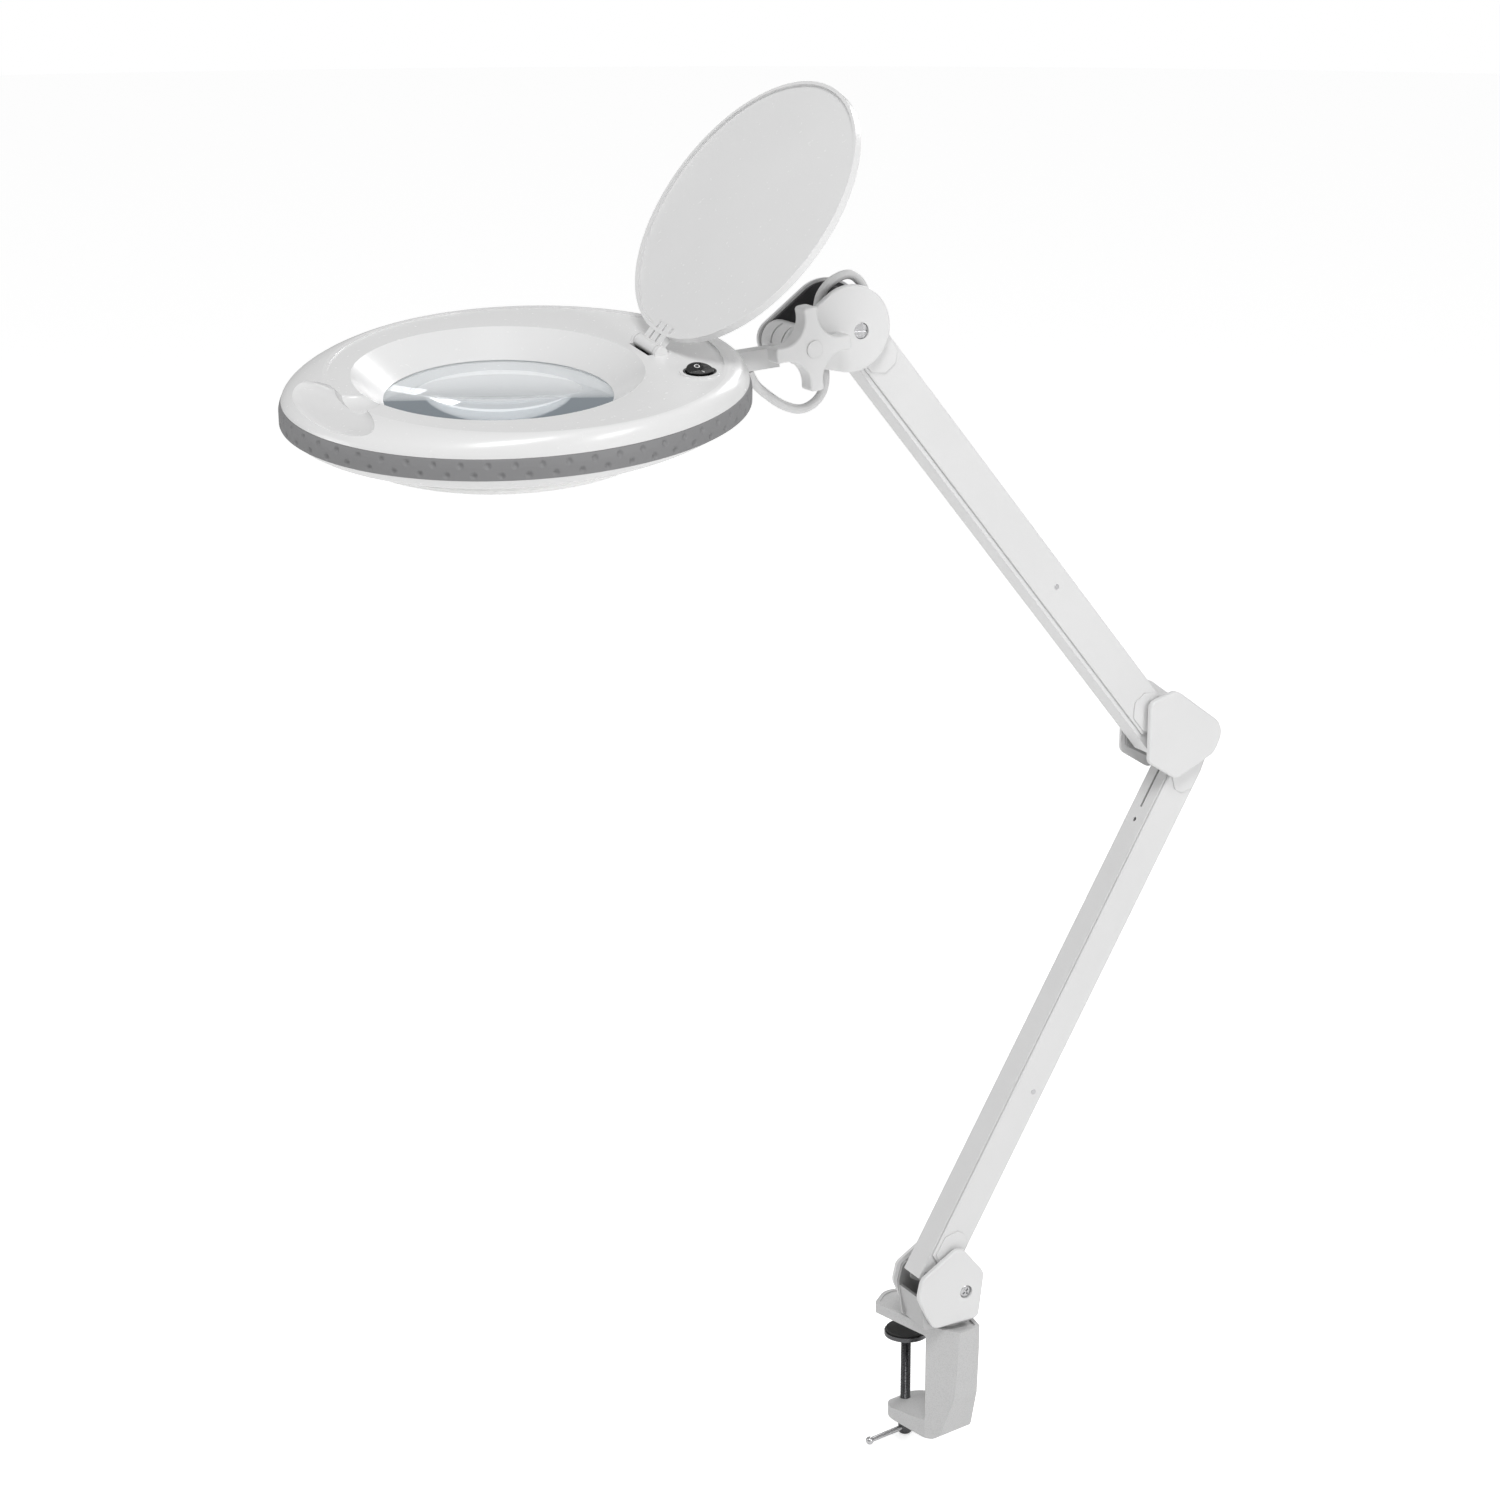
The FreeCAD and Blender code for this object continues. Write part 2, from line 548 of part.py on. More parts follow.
def knob_and_neck():
    kx, kz = KNUCKLE
    place = at(kx, -d.post_back, kz)
    front = -COVER_OUTER
    washer = rod("friction_radius", (0, front - d.friction_thick, 0), (0, front, 0))
    back = COVER_OUTER + 1
    back_washer = rod("friction_radius-1", (0, COVER_OUTER, 0), (0, back, 0))
    way = rod("bolt_radius", (0, -40, 0), (0, 40, 0))
    part("friction_washers", cut(group(washer, back_washer), way, name="friction_washers"), place)
    knob_back = front - d.friction_thick - d.knob_gap
    knob_face = knob_back - d.knob_thick
    shank = rod("bolt_radius", (0, back, 0), (0, knob_face + 3, 0))
    head = rod("bolt_head", (0, back, 0), (0, back + d.bolt_head_thick, 0))
    part("knob_bolt", fuse(shank, head, name="knob_bolt"), place)

    star = rod("knob_radius", (0, knob_back, 0), (0, knob_face, 0))
    scoops = []
    for quarter in range(4):
        way = math.radians(45 + 90 * quarter + d.knob_turn)
        x, z = d.scallop_distance * math.cos(way), d.scallop_distance * math.sin(way)
        scoops.append(rod("knob_scallop", (x, knob_back + 1, z), (x, knob_face - 1, z)))
    bore = rod("bolt_radius+pin_gap", (0, knob_back + 1, 0), (0, knob_face + 2.8, 0))
    blank = cut(star, bore, *scoops, name="knob_blank")
    doc.recompute()
    knob = doc.addObject("Part::Fillet", "star_knob")
    knob.Base = blank
    rounded = []
    for i, edge in enumerate(blank.Shape.Edges, start=1):
        middle = edge.CenterOfMass
        flat = edge.BoundBox.YMax - edge.BoundBox.YMin < 1e-6
        outer = math.hypot(middle.x, middle.z) > 5 or edge.BoundBox.XMax > 5
        if flat and outer:
            rounded.append((i, 1.2, 1.2))
        elif not flat and outer:
            rounded.append((i, 1.8, 1.8))
    knob.Edges = rounded
    part("star_knob", knob, place)
    part("knob_cap", rod("cap_radius", (0, knob_face, 0), (0, knob_face - d.cap_thick, 0)), place)

    tilt = at(kx, -d.post_back, kz, Rotation(Vector(0, 1, 0), d.head_pitch))
    width = d.plate_inner - d.side_gap
    ring = across("ear_radius-0.5", "plate_inner-side_gap")
    low = -d.neck_drop - d.neck_height / 2
    arm = box((-d.neck_reach, -d.neck_width / 2, low),
              (-2, d.neck_width / 2, low + d.neck_height))
    lower_trim = box((-8, -width, -40), (width, width, -9.9))
    spigot = rod("spigot_radius", (-d.neck_reach + 1, 0, -d.neck_drop),
                 (-d.spigot_reach, 0, -d.neck_drop))
    bolt_way = across("bolt_radius+pin_gap", "plate_inner")
    split = box((-12, -0.8, 0.5), (-2.5, 0.8, 12))
    part("neck_knuckle", cut(fuse(ring, arm, spigot), bolt_way, split, lower_trim,
                             name="neck_knuckle"), tilt)
    clip = tube("spigot_radius+2", "spigot_radius", "2",
                at(-d.spigot_reach + 0.5, 0, -d.neck_drop, ALONG_X))
    part("neck_clip", clip, tilt)


# ---------------------------------------------------------------- arms

def arm_place(x, z, angle):
    """Frame of a bar: x along it from its first pivot, z towards its closed back."""
    turn = Rotation(Vector(0, 1, 0), -angle) * Rotation(Vector(1, 0, 0), 180)
    return at(x, -d.post_back, z, turn)


def bar_profile(length, front, back):
    """Side of a channel: round noses at both ends and a sloped cut of the back."""
    nose = d.end_radius
    slope = d.end_slope
    notch = d.notch_length
    step = -d.main_pin - d.notch_web
    return [
        (-nose, step, 2.5), (notch, step, 0), (notch + 3, -front, 1),
        (length - notch - 3, -front, 1), (length - notch, step, 0), (length + nose, step, 2.5),
        (length + nose, nose * 0.8, nose * 0.75), (length - slope, back, 2), (slope, back, 2),
        (-nose, nose * 0.8, nose * 0.75),
    ]


def arm(prefix, pivot, angle, length, front, back, offset):
    place = arm_place(pivot[0], pivot[1], angle)
    reach = SIZES[length]
    half = d.channel_width / 2
    inner = half - d.channel_wall
    blank = pad(bar_profile(reach, SIZES[front], SIZES[back]), "channel_width",
                at(0, half, 0, SIDEWAYS), "0.8", ("top", "bottom"))
    hollow = box((-30, -inner, -30), (reach + 30, inner, SIZES[back] - d.channel_wall))
    holes = [across("main_pin+pin_gap", "15"), across("main_pin+pin_gap", "15", reach),
             across("link_pin", "15", d.spring_reach, d.anchor_offset)]
    if prefix == "upper":
        half_slot = d.cable_radius + d.cable_clear
        holes.append(box((reach - d.cable_slot, -half_slot, 4),
                         (reach + d.end_radius + 1, half_slot, SIZES[back] + 1)))
    part(prefix + "_channel", cut(blank, hollow, *holes, name=prefix + "_channel"), place)

    far = d.fitting_reach
    edge = SIZES[back] - 1.5
    low = -SIZES[front] + 1.5
    notch = d.notch_length + 1
    step = -d.main_pin - d.notch_web
    fitting = [(-6, step, 2), (notch, step, 0), (notch + 3, low, 1), (far - 6, low, 3),
               (far, low + 6, 3), (far, edge - 5, 3), (far - 5, edge, 3),
               (d.end_slope, edge, 3), (-6, 4.6, 4)]
    pieces = []
    for start in (0, reach):
        corners = fitting if start == 0 else [(reach - x, z, r) for x, z, r in reversed(fitting)]
        near, other = side_pair(corners, half, "fitting_thick")
        for side in (near, other):
            pieces.append(cut(side, across("main_pin+pin_gap", "15", start)))
    part(prefix + "_end_fittings", group(*pieces, name=prefix + "_end_fittings"), place)

    start = (0.0, -float(SIZES[offset]))
    end = (d.spring_reach, d.anchor_offset)
    span = math.hypot(end[0] - start[0], end[1] - start[1])
    lean = math.degrees(math.atan2(end[1] - start[1], end[0] - start[0]))
    springs = []
    for side in (-1, 1):
        y = side * d.spring_side
        coil = tube("spring_radius", "spring_bore", "spring_reach-2*spring_start",
                    at(d.spring_start, 0, 0, ALONG_X))
        eye_radius = d.link_pin + d.spring_wire + 0.1
        hooks = []
        for spot, way in ((0, 1), (span, -1)):
            eye = solid("Torus", at(spot, 0, 0, SIDEWAYS), Radius2="spring_wire")
            eye.Radius1 = eye_radius
            near_end = spot + way * eye_radius
            far_end = d.spring_start + 0.5 if way == 1 else d.spring_reach - d.spring_start - 0.5
            hooks += [eye, rod("spring_wire", (near_end, 0, 0), (far_end, 0, 0))]
            hooks.append(rod("spring_radius", (far_end - way * 1.5, 0, 0), (far_end, 0, 0)))
        spring = fuse(coil, *hooks)
        spring.Placement = at(start[0], y, start[1], Rotation(Vector(0, 1, 0), -lean))
        springs.append(spring)
    part(prefix + "_springs", group(*springs, name=prefix + "_springs"), place)
    anchor = across("link_pin", "channel_width/2", d.spring_reach, d.anchor_offset)
    part(prefix + "_spring_anchor", group(anchor), place)

    shift = -SIZES[offset]
    outer = d.link_width / 2
    low = shift - d.link_depth / 2
    body = pad([
        (-d.link_end, low, 0.8), (reach + d.link_end, low, 0.8),
        (reach + d.link_end, low + d.link_depth, 3), (-d.link_end, low + d.link_depth, 3),
    ], "link_width", at(0, outer, 0, SIDEWAYS))
    inside = outer - d.link_wall
    hollow = box((-30, -inside, low + d.link_wall), (reach + 30, inside, 30))
    tools = [across("link_pin+pin_gap", "15", 0, shift),
             across("link_pin+pin_gap", "15", reach, shift)]
    if prefix == "lower":
        slot_end = reach - 22
        tools.append(box((slot_end - d.slot_length, -d.slot_width / 2, low - 1),
                         (slot_end, d.slot_width / 2, low + 2)))
        tools.append(cylinder("1.3", "4", at(slot_end - d.slot_length - 8, 0, low - 1)))
    part(prefix + "_link", cut(body, hollow, *tools, name=prefix + "_link"), place)


# ---------------------------------------------------------------- cables

def cable(name, route):
    """A round cable: straight runs joined by tangent arcs, all in the arms' plane."""
    points = [Vector(x, -d.post_back, z) for x, z in route]
    edges = []
    here = points[0]
    total = 0.0
    radii = []
    for before, corner, after in zip(points, points[1:], points[2:]):
        back = before - corner
        ahead = after - corner
        run = min(back.Length, ahead.Length)
        half_turn = (math.pi - back.getAngle(ahead)) / 2
        reach = 0.45 * run
        radius = reach / math.tan(half_turn)
        radii.append(round(radius, 1))
        start = corner + back.normalize() * reach
        stop = corner + ahead.normalize() * reach
        depth = radius / math.cos(half_turn) - radius
        middle = corner + (back + ahead).normalize() * depth
        edges.append(Part.LineSegment(here, start).toShape())
        edges.append(Part.Arc(start, middle, stop).toShape())
        total += here.distanceToPoint(start) + radius * 2 * half_turn
        here = stop
    edges.append(Part.LineSegment(here, points[-1]).toShape())
    total += here.distanceToPoint(points[-1])
    spine = Part.Wire(edges)
    first = points[1] - points[0]
    ring = Part.Wire(Part.makeCircle(d.cable_radius, points[0], first))
    shape = spine.makePipeShell([ring], True, True)
    item = doc.addObject("Part::Feature", name)
    item.Shape = shape
    ratio = shape.Volume / (math.pi * d.cable_radius ** 2 * total)
    print(name, "length", round(total, 1), "radii", radii, "volume ratio", round(ratio, 4))
    part(name, item)


ARM_CABLE = [(-43.5, 577), (-48.5, 585.5), (-50.8, 596), (-52, 606.5), (-60, 614.5), (-71, 611.5),
             (-78, 605), (-80, 598), (-80, 592)]
LAMP_CABLE = [(-80, 591.99), (-80, 583), (-78.5, 572.5), (-74.5, 562), (-77, 550), (-88, 543.5),
              (-100, 547), (-110, 554), (-118, 561), (-120, 566.6)]


# ---------------------------------------------------------------- head

def head_place():
    level = Rotation(Vector(0, 1, 0), d.head_pitch)
    rolled = level * Rotation(Vector(1, 0, 0), d.head_roll)
    knuckle = Vector(KNUCKLE[0], -d.post_back, KNUCKLE[1])
    axis = level.multVec(Vector(0, 0, -d.neck_drop))
    centre = rolled.multVec(Vector(-d.head_reach, 0, d.head_rise))
    return Placement(knuckle + axis + centre, rolled)


HEAD = head_place()


def disc(radius, low, high):
    """A level cylinder on the lens axis between two heights."""
    item = doc.addObject("Part::Cylinder", "disc")
    item.setExpression("Radius", bind(radius))
    item.Height = high - low
    item.Placement = at(0, 0, low)
    return item


def neck_hole(radius):
    return rod(radius, (d.head_reach - 75, 0, -d.head_rise), (d.head_reach - 15, 0, -d.head_rise))


def skirt(shrink, low, high):
    """An upright elliptical core inside the rim band."""
    inset = d.band_thick + 0.2 + shrink
    return prism(d.head_long - inset, d.head_wide - inset, d.head_shift, low, high)


def upper_shell():
    wall = d.shell_wall

    def dome(inset, top):
        low = d.band_top if not inset else d.band_top - 0.5
        sections = [(d.head_long, d.head_wide, d.head_shift, 0.0),
                    (d.head_long - 2.6, d.head_wide - 0.4, d.head_shift + 1, 0.42),
                    (d.head_long - 9.5, d.head_wide - 1.8, d.head_shift + 3.4, 0.82),
                    (d.tray_long, d.tray_wide, d.tray_shift, 1.0)]
        return loft([(long - inset * 1.3, wide - inset * 1.3, shift,
                      low + share * (top - low)) for long, wide, shift, share in sections])

    ridge_in = d.ridge_width
    tray = prism(d.tray_long - ridge_in, d.tray_wide - ridge_in, d.tray_shift, d.tray_floor, 30)
    core = prism(d.tray_long - ridge_in - 1, d.tray_wide - ridge_in - 1, d.tray_shift, -20, 30)

    def scoop(extra):
        item = solid("Ellipsoid", at(d.recess_x, d.recess_y, d.recess_z))
        item.Radius2 = d.recess_wide + extra
        item.Radius3 = d.recess_long + extra
        item.Radius1 = d.recess_deep + extra
        return item

    def thumb(extra):
        item = solid("Ellipsoid", at(d.thumb_x, d.recess_y, d.tray_floor))
        item.Radius2 = d.thumb_radius + extra
        item.Radius3 = d.thumb_radius + extra
        item.Radius1 = d.thumb_deep + extra
        return item

    cone = solid("Cone", at(0, 0, 0), Radius1="cone_foot", Radius2="cone_top",
                 Height="tray_floor+0.01")
    cone_wall = solid("Cone", at(0, 0, -0.2), Radius1="cone_foot+shell_wall",
                      Radius2="cone_top+shell_wall", Height="tray_floor+0.1")
    pocket_wall = disc("lens_pocket+pocket_wall", d.pocket_foot, 2.4)
    blank = fuse(dome(0, d.tray_top), skirt(0, d.shell_joint, d.band_top + 0.5), cone_wall,
                 pocket_wall)
    hinge_box = box((d.hinge_x - 6, -d.hub_half - 0.5, d.hinge_z - 5),
                    (d.hinge_x + 6, d.hub_half + 0.5, 30))
    surround = cylinder("switch_radius+surround_width", "surround_rise+1.5", at(
        d.switch_x, d.switch_y, d.tray_floor - 1.5))
    lugs = []
    for side in (-1, 1):
        y = side * (d.hub_half + 0.5)
        lug = rod("hinge_hub", (d.hinge_x, y, d.hinge_z),
                  (d.hinge_x, y + side * d.lug_thick, d.hinge_z))
        foot = box((d.hinge_x - d.hinge_hub, min(y, y + side * d.lug_thick), d.tray_floor - 1),
                   (d.hinge_x + d.hinge_hub, max(y, y + side * d.lug_thick), d.hinge_z))
        lugs += [lug, foot]
    outside = fuse(cut(blank, tray, cut(scoop(0), core), thumb(0), hinge_box), surround, *lugs)
    cavity = cut(fuse(dome(wall, d.tray_floor - wall), skirt(wall, d.shell_joint - 1,
                                                             d.band_top + 0.2)),
                 scoop(wall), thumb(wall), cone_wall, pocket_wall)
    below = disc("lens_pocket", d.pocket_foot - 1, -0.2)
    view = disc("cone_foot", -10, 5)
    shell = cut(outside, cavity)
    switch_way = cylinder("switch_radius", "40", at(d.switch_x, d.switch_y, -10))
    pin_way = across("hinge_pin", "hub_half+2.5", d.hinge_x, d.hinge_z)
    part("upper_shell", cut(shell, cone, below, view, switch_way, pin_way,
                            neck_hole("spigot_radius+side_gap"), name="upper_shell"), HEAD)


def lower_shell():
    low = d.shell_bottom
    bowl = loft([(d.head_long, d.head_wide, d.head_shift, d.band_bottom),
                 (d.head_long - 5.5, d.head_wide - 4.5, d.head_shift - 1.2, d.band_bottom - 4),
                 (d.head_long - 23, d.head_wide - 13.5, d.head_shift - 6, low)])
    wall = d.shell_wall
    inner = loft([(d.head_long - 4, d.head_wide - 4, d.head_shift, d.band_bottom + 0.01),
                  (d.head_long - 9, d.head_wide - 8, d.head_shift - 1.2, d.band_bottom - 3.4),
                  (d.head_long - 21, d.head_wide - 14, d.head_shift - 4.5, low + wall)])
    chamber = disc("chamber_radius+tube_wall", low, d.chamber_top + d.tube_wall)
    tube_out = disc("tube_radius+tube_wall", d.ring_bottom, d.chamber_top + d.tube_wall)
    blank = fuse(bowl, skirt(0, d.band_bottom - 0.5, d.shell_joint - 0.05))
    hollow = fuse(inner, skirt(wall, d.band_bottom - 1, d.shell_joint + 1))
    shell = fuse(cut(blank, hollow), chamber, tube_out)
    under = cut(disc("chamber_radius", d.ring_bottom - 5, d.chamber_top),
                disc("tube_radius+tube_wall", d.ring_bottom - 6, d.chamber_top + 1))
    part("lower_shell", cut(shell, under, disc("tube_radius", -40, 10),
                            neck_hole("spigot_radius+side_gap"), name="lower_shell"), HEAD)


def head_parts():
    bulge = d.band_bulge
    outer = loft([(d.head_long, d.head_wide, d.head_shift, d.band_top),
                  (d.head_long + bulge, d.head_wide + bulge, d.head_shift, -1),
                  (d.head_long + bulge, d.head_wide + bulge, d.head_shift, d.band_bottom)])
    inset = d.band_thick
    inner = prism(d.head_long - inset, d.head_wide - inset, d.head_shift, d.band_bottom - 1,
                  d.band_top + 1)
    part("rim_band", cut(outer, inner, neck_hole("spigot_radius+side_gap"), name="rim_band"),
         HEAD)

    centre = d.lens_edge_top - d.lens_edge / 2
    rise = math.sqrt(d.lens_curve ** 2 - d.lens_radius ** 2) - d.lens_edge / 2
    halves = [solid("Sphere", at(0, 0, centre + side * rise), Radius="lens_curve")
              for side in (-1, 1)]
    blank = disc("lens_radius", centre - 20, centre + 20)
    part("lens", common(blank, *halves, name="lens"), HEAD)
    low = d.chamber_top + d.tube_wall
    ring = cut(disc("lens_pocket-0.1", low, d.retainer_top),
               disc("retainer_bore", low - 1, 0), name="lens_retainer")
    part("lens_retainer", ring, HEAD)

    board_low = d.chamber_top - d.board_thick
    board = cut(disc("chamber_radius-side_gap", board_low, d.chamber_top),
                disc("tube_radius+tube_wall+side_gap", board_low - 1, 0), name="led_board")
    part("led_board", board, HEAD)
    chips = []
    for i in range(int(d.led_count)):
        chip = solid("Box", None, Height="led_thick")
        chip.Length, chip.Width = 3.5, 2.8
        turn = Rotation(Vector(0, 0, 1), 360 * i / d.led_count)
        spot = turn.multVec(Vector(d.led_circle - 1.75, -1.4, 0))
        chip.Placement = at(spot.x, spot.y, board_low - d.led_thick, turn)
        chips.append(chip)
    part("leds", group(*chips, name="leds"), HEAD)
    floor = d.ring_bottom + d.ring_floor
    chamfer = 2.5
    foot = solid("Cone", at(0, 0, d.ring_bottom), Radius1="chamber_radius-side_gap-2.5",
                 Radius2="chamber_radius-side_gap", Height="2.5")
    sleeve = disc("chamber_radius-side_gap", d.ring_bottom + chamfer, d.chamber_top - 3)
    room = disc("chamber_radius-side_gap-ring_floor", floor, 0)
    middle = disc("tube_radius+tube_wall+side_gap", d.ring_bottom - 1, 0)
    part("diffuser_ring", cut(fuse(foot, sleeve), room, middle, name="diffuser_ring"), HEAD)

    low = d.shell_bottom + d.shell_wall
    part("driver_board", box((87, -22, low + 0.1), (100, 22, low + 1.7)), HEAD)
    socket = tube("spigot_radius+2.5", "spigot_radius+pin_gap", "24",
                  at(d.head_reach - 65, 0, -d.head_rise, ALONG_X))
    part("neck_socket", socket, HEAD)

    spot = at(d.switch_x, d.switch_y, 0)
    pivot = d.rocker_pivot
    shell_top = d.tray_floor + d.surround_rise
    barrel = cylinder("switch_radius-0.05", "19", at(0, 0, shell_top - 19))
    well = cylinder("switch_radius-switch_wall", "12", at(0, 0, pivot - 5))
    trunnion_way = rod("1.05", (-20, 0, pivot), (20, 0, pivot))
    part("switch_housing", cut(barrel, well, trunnion_way, name="switch_housing"),
         HEAD.multiply(spot))
    cap = cylinder("rocker_radius", "6.6", at(0, 0, -2))
    trunnions = rod("1", (-8, 0, 0), (8, 0, 0))
    vee = pad([(-9, 4.6, 0), (0, 3.0, 0), (9, 4.6, 0), (9, 12, 0), (-9, 12, 0)], "24",
              at(-12, 0, 0, Rotation(Vector(1, 1, 1), 120)))
    rocker = cut(fuse(cap, trunnions), vee, name="rocker")
    tilt = at(0, 0, pivot, Rotation(Vector(1, 0, 0), d.rocker_tilt))
    part("rocker", rocker, HEAD.multiply(spot).multiply(tilt))


def lid():
    swing = at(d.hinge_x, 0, d.hinge_z, Rotation(Vector(0, 1, 0), d.lid_open))
    place = HEAD.multiply(swing)
    low = d.tray_floor + d.rest_gap - d.hinge_z
    centre = at(-d.hinge_x, 0, low + d.lid_lip)
    plate = cylinder("lid_radius", "lid_thick", centre)
    lip = tube("lid_radius", "lid_radius-1.8", "lid_lip+0.2", at(-d.hinge_x, 0, low))
    fins = []
    for step in (-1, 0, 1):
        y = step * d.fin_pitch
        fin_low = low + 0.1
        fins.append(box((-14, y - d.fin_width / 2, fin_low),
                        (0, y + d.fin_width / 2, low + d.lid_lip + d.lid_thick - 0.3)))
    hub = across("hinge_hub", "hub_half")
    bore = across("hinge_pin+pin_gap", "15")
    part("lid", cut(fuse(plate, lip, hub, *fins), bore, name="lid"), place)
    pin = across("hinge_pin", "hub_half+2.5", d.hinge_x, d.hinge_z)
    part("lid_hinge_pin", group(pin), HEAD)


clamp_frame()
clamp_parts()
base()
arm("lower", LOWER[0], d.lower_angle, "lower_length", "lower_front", "lower_back", "lower_offset")
elbow()
arm("upper", UPPER[0], d.upper_angle, "upper_length", "upper_front", "upper_back", "upper_offset")
head_joint()
knob_and_neck()
cable("arm_cable", ARM_CABLE)
cable("lamp_cable", LAMP_CABLE)
upper_shell()
lower_shell()
head_parts()
lid()

doc.recompute()
for item in doc.Objects:
    if "Invalid" in item.State or "Error" in item.State:
        raise SystemExit("failed: %s %s" % (item.Label, item.State))
for item in parts:
    if item.Shape.isNull() or not item.Shape.isValid() or not item.Shape.Solids:
        raise SystemExit("bad shape: " + item.Label)
os.makedirs("parts", exist_ok=True)
for item in parts:
    item.Shape.exportStep("parts/%s.step" % item.Label)
print(len(parts), "sub-parts")
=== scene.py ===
import json
import math

import bpy
from mathutils import Euler, Matrix, Vector


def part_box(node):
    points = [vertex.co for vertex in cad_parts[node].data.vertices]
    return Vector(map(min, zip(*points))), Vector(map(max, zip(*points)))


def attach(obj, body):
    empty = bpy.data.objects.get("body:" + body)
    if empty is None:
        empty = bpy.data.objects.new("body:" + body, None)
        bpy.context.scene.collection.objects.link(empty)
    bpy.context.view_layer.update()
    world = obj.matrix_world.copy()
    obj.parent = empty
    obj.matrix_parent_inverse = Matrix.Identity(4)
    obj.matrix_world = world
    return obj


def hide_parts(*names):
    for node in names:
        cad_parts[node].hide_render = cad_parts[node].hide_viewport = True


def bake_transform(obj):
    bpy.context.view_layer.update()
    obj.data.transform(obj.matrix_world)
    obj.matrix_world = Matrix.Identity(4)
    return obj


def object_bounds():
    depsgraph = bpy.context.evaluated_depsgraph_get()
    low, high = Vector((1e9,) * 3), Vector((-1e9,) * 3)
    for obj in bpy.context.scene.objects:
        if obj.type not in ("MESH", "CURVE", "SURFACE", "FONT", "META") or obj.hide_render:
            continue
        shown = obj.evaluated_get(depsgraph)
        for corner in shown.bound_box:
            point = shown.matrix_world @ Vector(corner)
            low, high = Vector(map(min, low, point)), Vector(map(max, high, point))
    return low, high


# Looks of the magnifying lamp, in metres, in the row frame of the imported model.

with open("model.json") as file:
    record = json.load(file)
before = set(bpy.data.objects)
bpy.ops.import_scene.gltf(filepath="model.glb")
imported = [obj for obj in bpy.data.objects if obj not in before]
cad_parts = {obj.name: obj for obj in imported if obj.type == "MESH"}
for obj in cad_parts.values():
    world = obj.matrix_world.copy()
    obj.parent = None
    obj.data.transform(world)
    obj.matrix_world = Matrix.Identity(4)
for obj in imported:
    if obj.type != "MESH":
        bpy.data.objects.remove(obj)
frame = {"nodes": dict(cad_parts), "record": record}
cad_low, cad_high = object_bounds()

MM = 0.001

# The camera of the photograph: turned round the lamp and raised, in degrees.
CAMERA_AZIMUTH = -27.5
CAMERA_ELEVATION = 15.8
CAMERA_DISTANCE = 1.92065
CAMERA_TARGET = Vector((-0.1195, -0.032, 0.363))
CAMERA_LENS = 86.4
SENSOR = 36

# The studio's strength under and over the lamp, and as the camera sees it; and the floor's
# own glow, as it falls on the lamp and as the camera sees it.
WORLD_LOW, WORLD_HIGH, WORLD_SEEN = 0.16, 0.48, 1.0
FLOOR_GLOW, FLOOR_SEEN = 0.2, 0.62
FLOOR_RADIUS, FLOOR_SIDES, FLOOR_GAP = 9.0, 96, 0.6 * MM

# The head's own frame, pitched and rolled in degrees: x along the neck, z along the lens
# axis, its origin a little over the middle of the glass.
HEAD_PITCH, HEAD_ROLL = -3.77, 7.89
HEAD_OVER_GLASS = 2.9 * MM


# ---------------------------------------------------------------- camera and light

def build_camera():
    """The camera that the photograph was taken with, fitted to it."""
    turn, rise = math.radians(CAMERA_AZIMUTH), math.radians(CAMERA_ELEVATION)
    back = Vector((math.sin(turn) * math.cos(rise), -math.cos(turn) * math.cos(rise),
                   math.sin(rise)))
    data = bpy.data.cameras.new("camera")
    data.lens, data.sensor_width = CAMERA_LENS, SENSOR
    data.clip_start, data.clip_end = 0.05, 40
    camera = bpy.data.objects.new("camera", data)
    camera.location = CAMERA_TARGET + back * CAMERA_DISTANCE
    camera.rotation_euler = (-back).to_track_quat("-Z", "Y").to_euler()
    bpy.context.scene.collection.objects.link(camera)
    bpy.context.scene.camera = camera


def area_light(name, place, aim, size, power):
    """A soft square lamp facing a point."""
    data = bpy.data.lights.new(name, "AREA")
    data.size, data.energy = size, power
    lamp = bpy.data.objects.new(name, data)
    lamp.location = place
    lamp.rotation_euler = (Vector(aim) - Vector(place)).to_track_quat("-Z", "Y").to_euler()
    bpy.context.scene.collection.objects.link(lamp)


def build_light():
    """Four soft lamps, and a studio that is white to the camera and dimmer to the lamp."""
    area_light("key", (-0.7, -1.2, 2.3), (-0.15, 0, 0.4), 0.8, 22)
    area_light("front", (0.75, -2.1, 0.9), (0, 0, 0.35), 0.7, 12)
    area_light("rim", (1.5, 0.9, 1.5), (0, 0, 0.35), 0.8, 10)
    area_light("side", (-2.0, 0.6, 0.9), (-0.2, 0, 0.4), 0.8, 6)
    world = bpy.data.worlds.new("studio")
    bpy.context.scene.world = world
    world.use_nodes = True
    net = Net(world.node_tree)
    sky = net.add("ShaderNodeTexCoord")
    split = net.add("ShaderNodeSeparateXYZ", Vector=sky.outputs["Generated"])
    height = net.add("ShaderNodeMapRange", Value=split.outputs["Z"])
    height.inputs["From Min"].default_value = -1
    height.inputs["To Min"].default_value = WORLD_LOW
    height.inputs["To Max"].default_value = WORLD_HIGH
    path = net.add("ShaderNodeLightPath")
    glow = net.add("ShaderNodeMix", Factor=path.outputs["Is Camera Ray"],
                   A=height.outputs["Result"])
    glow.inputs["B"].default_value = WORLD_SEEN
    shader = net.add("ShaderNodeBackground", Strength=glow.outputs["Result"])
    shader.inputs["Color"].default_value = (1, 1, 1, 1)
    out = net.add("ShaderNodeOutputWorld")
    net.links.new(shader.outputs["Background"], out.inputs["Surface"])


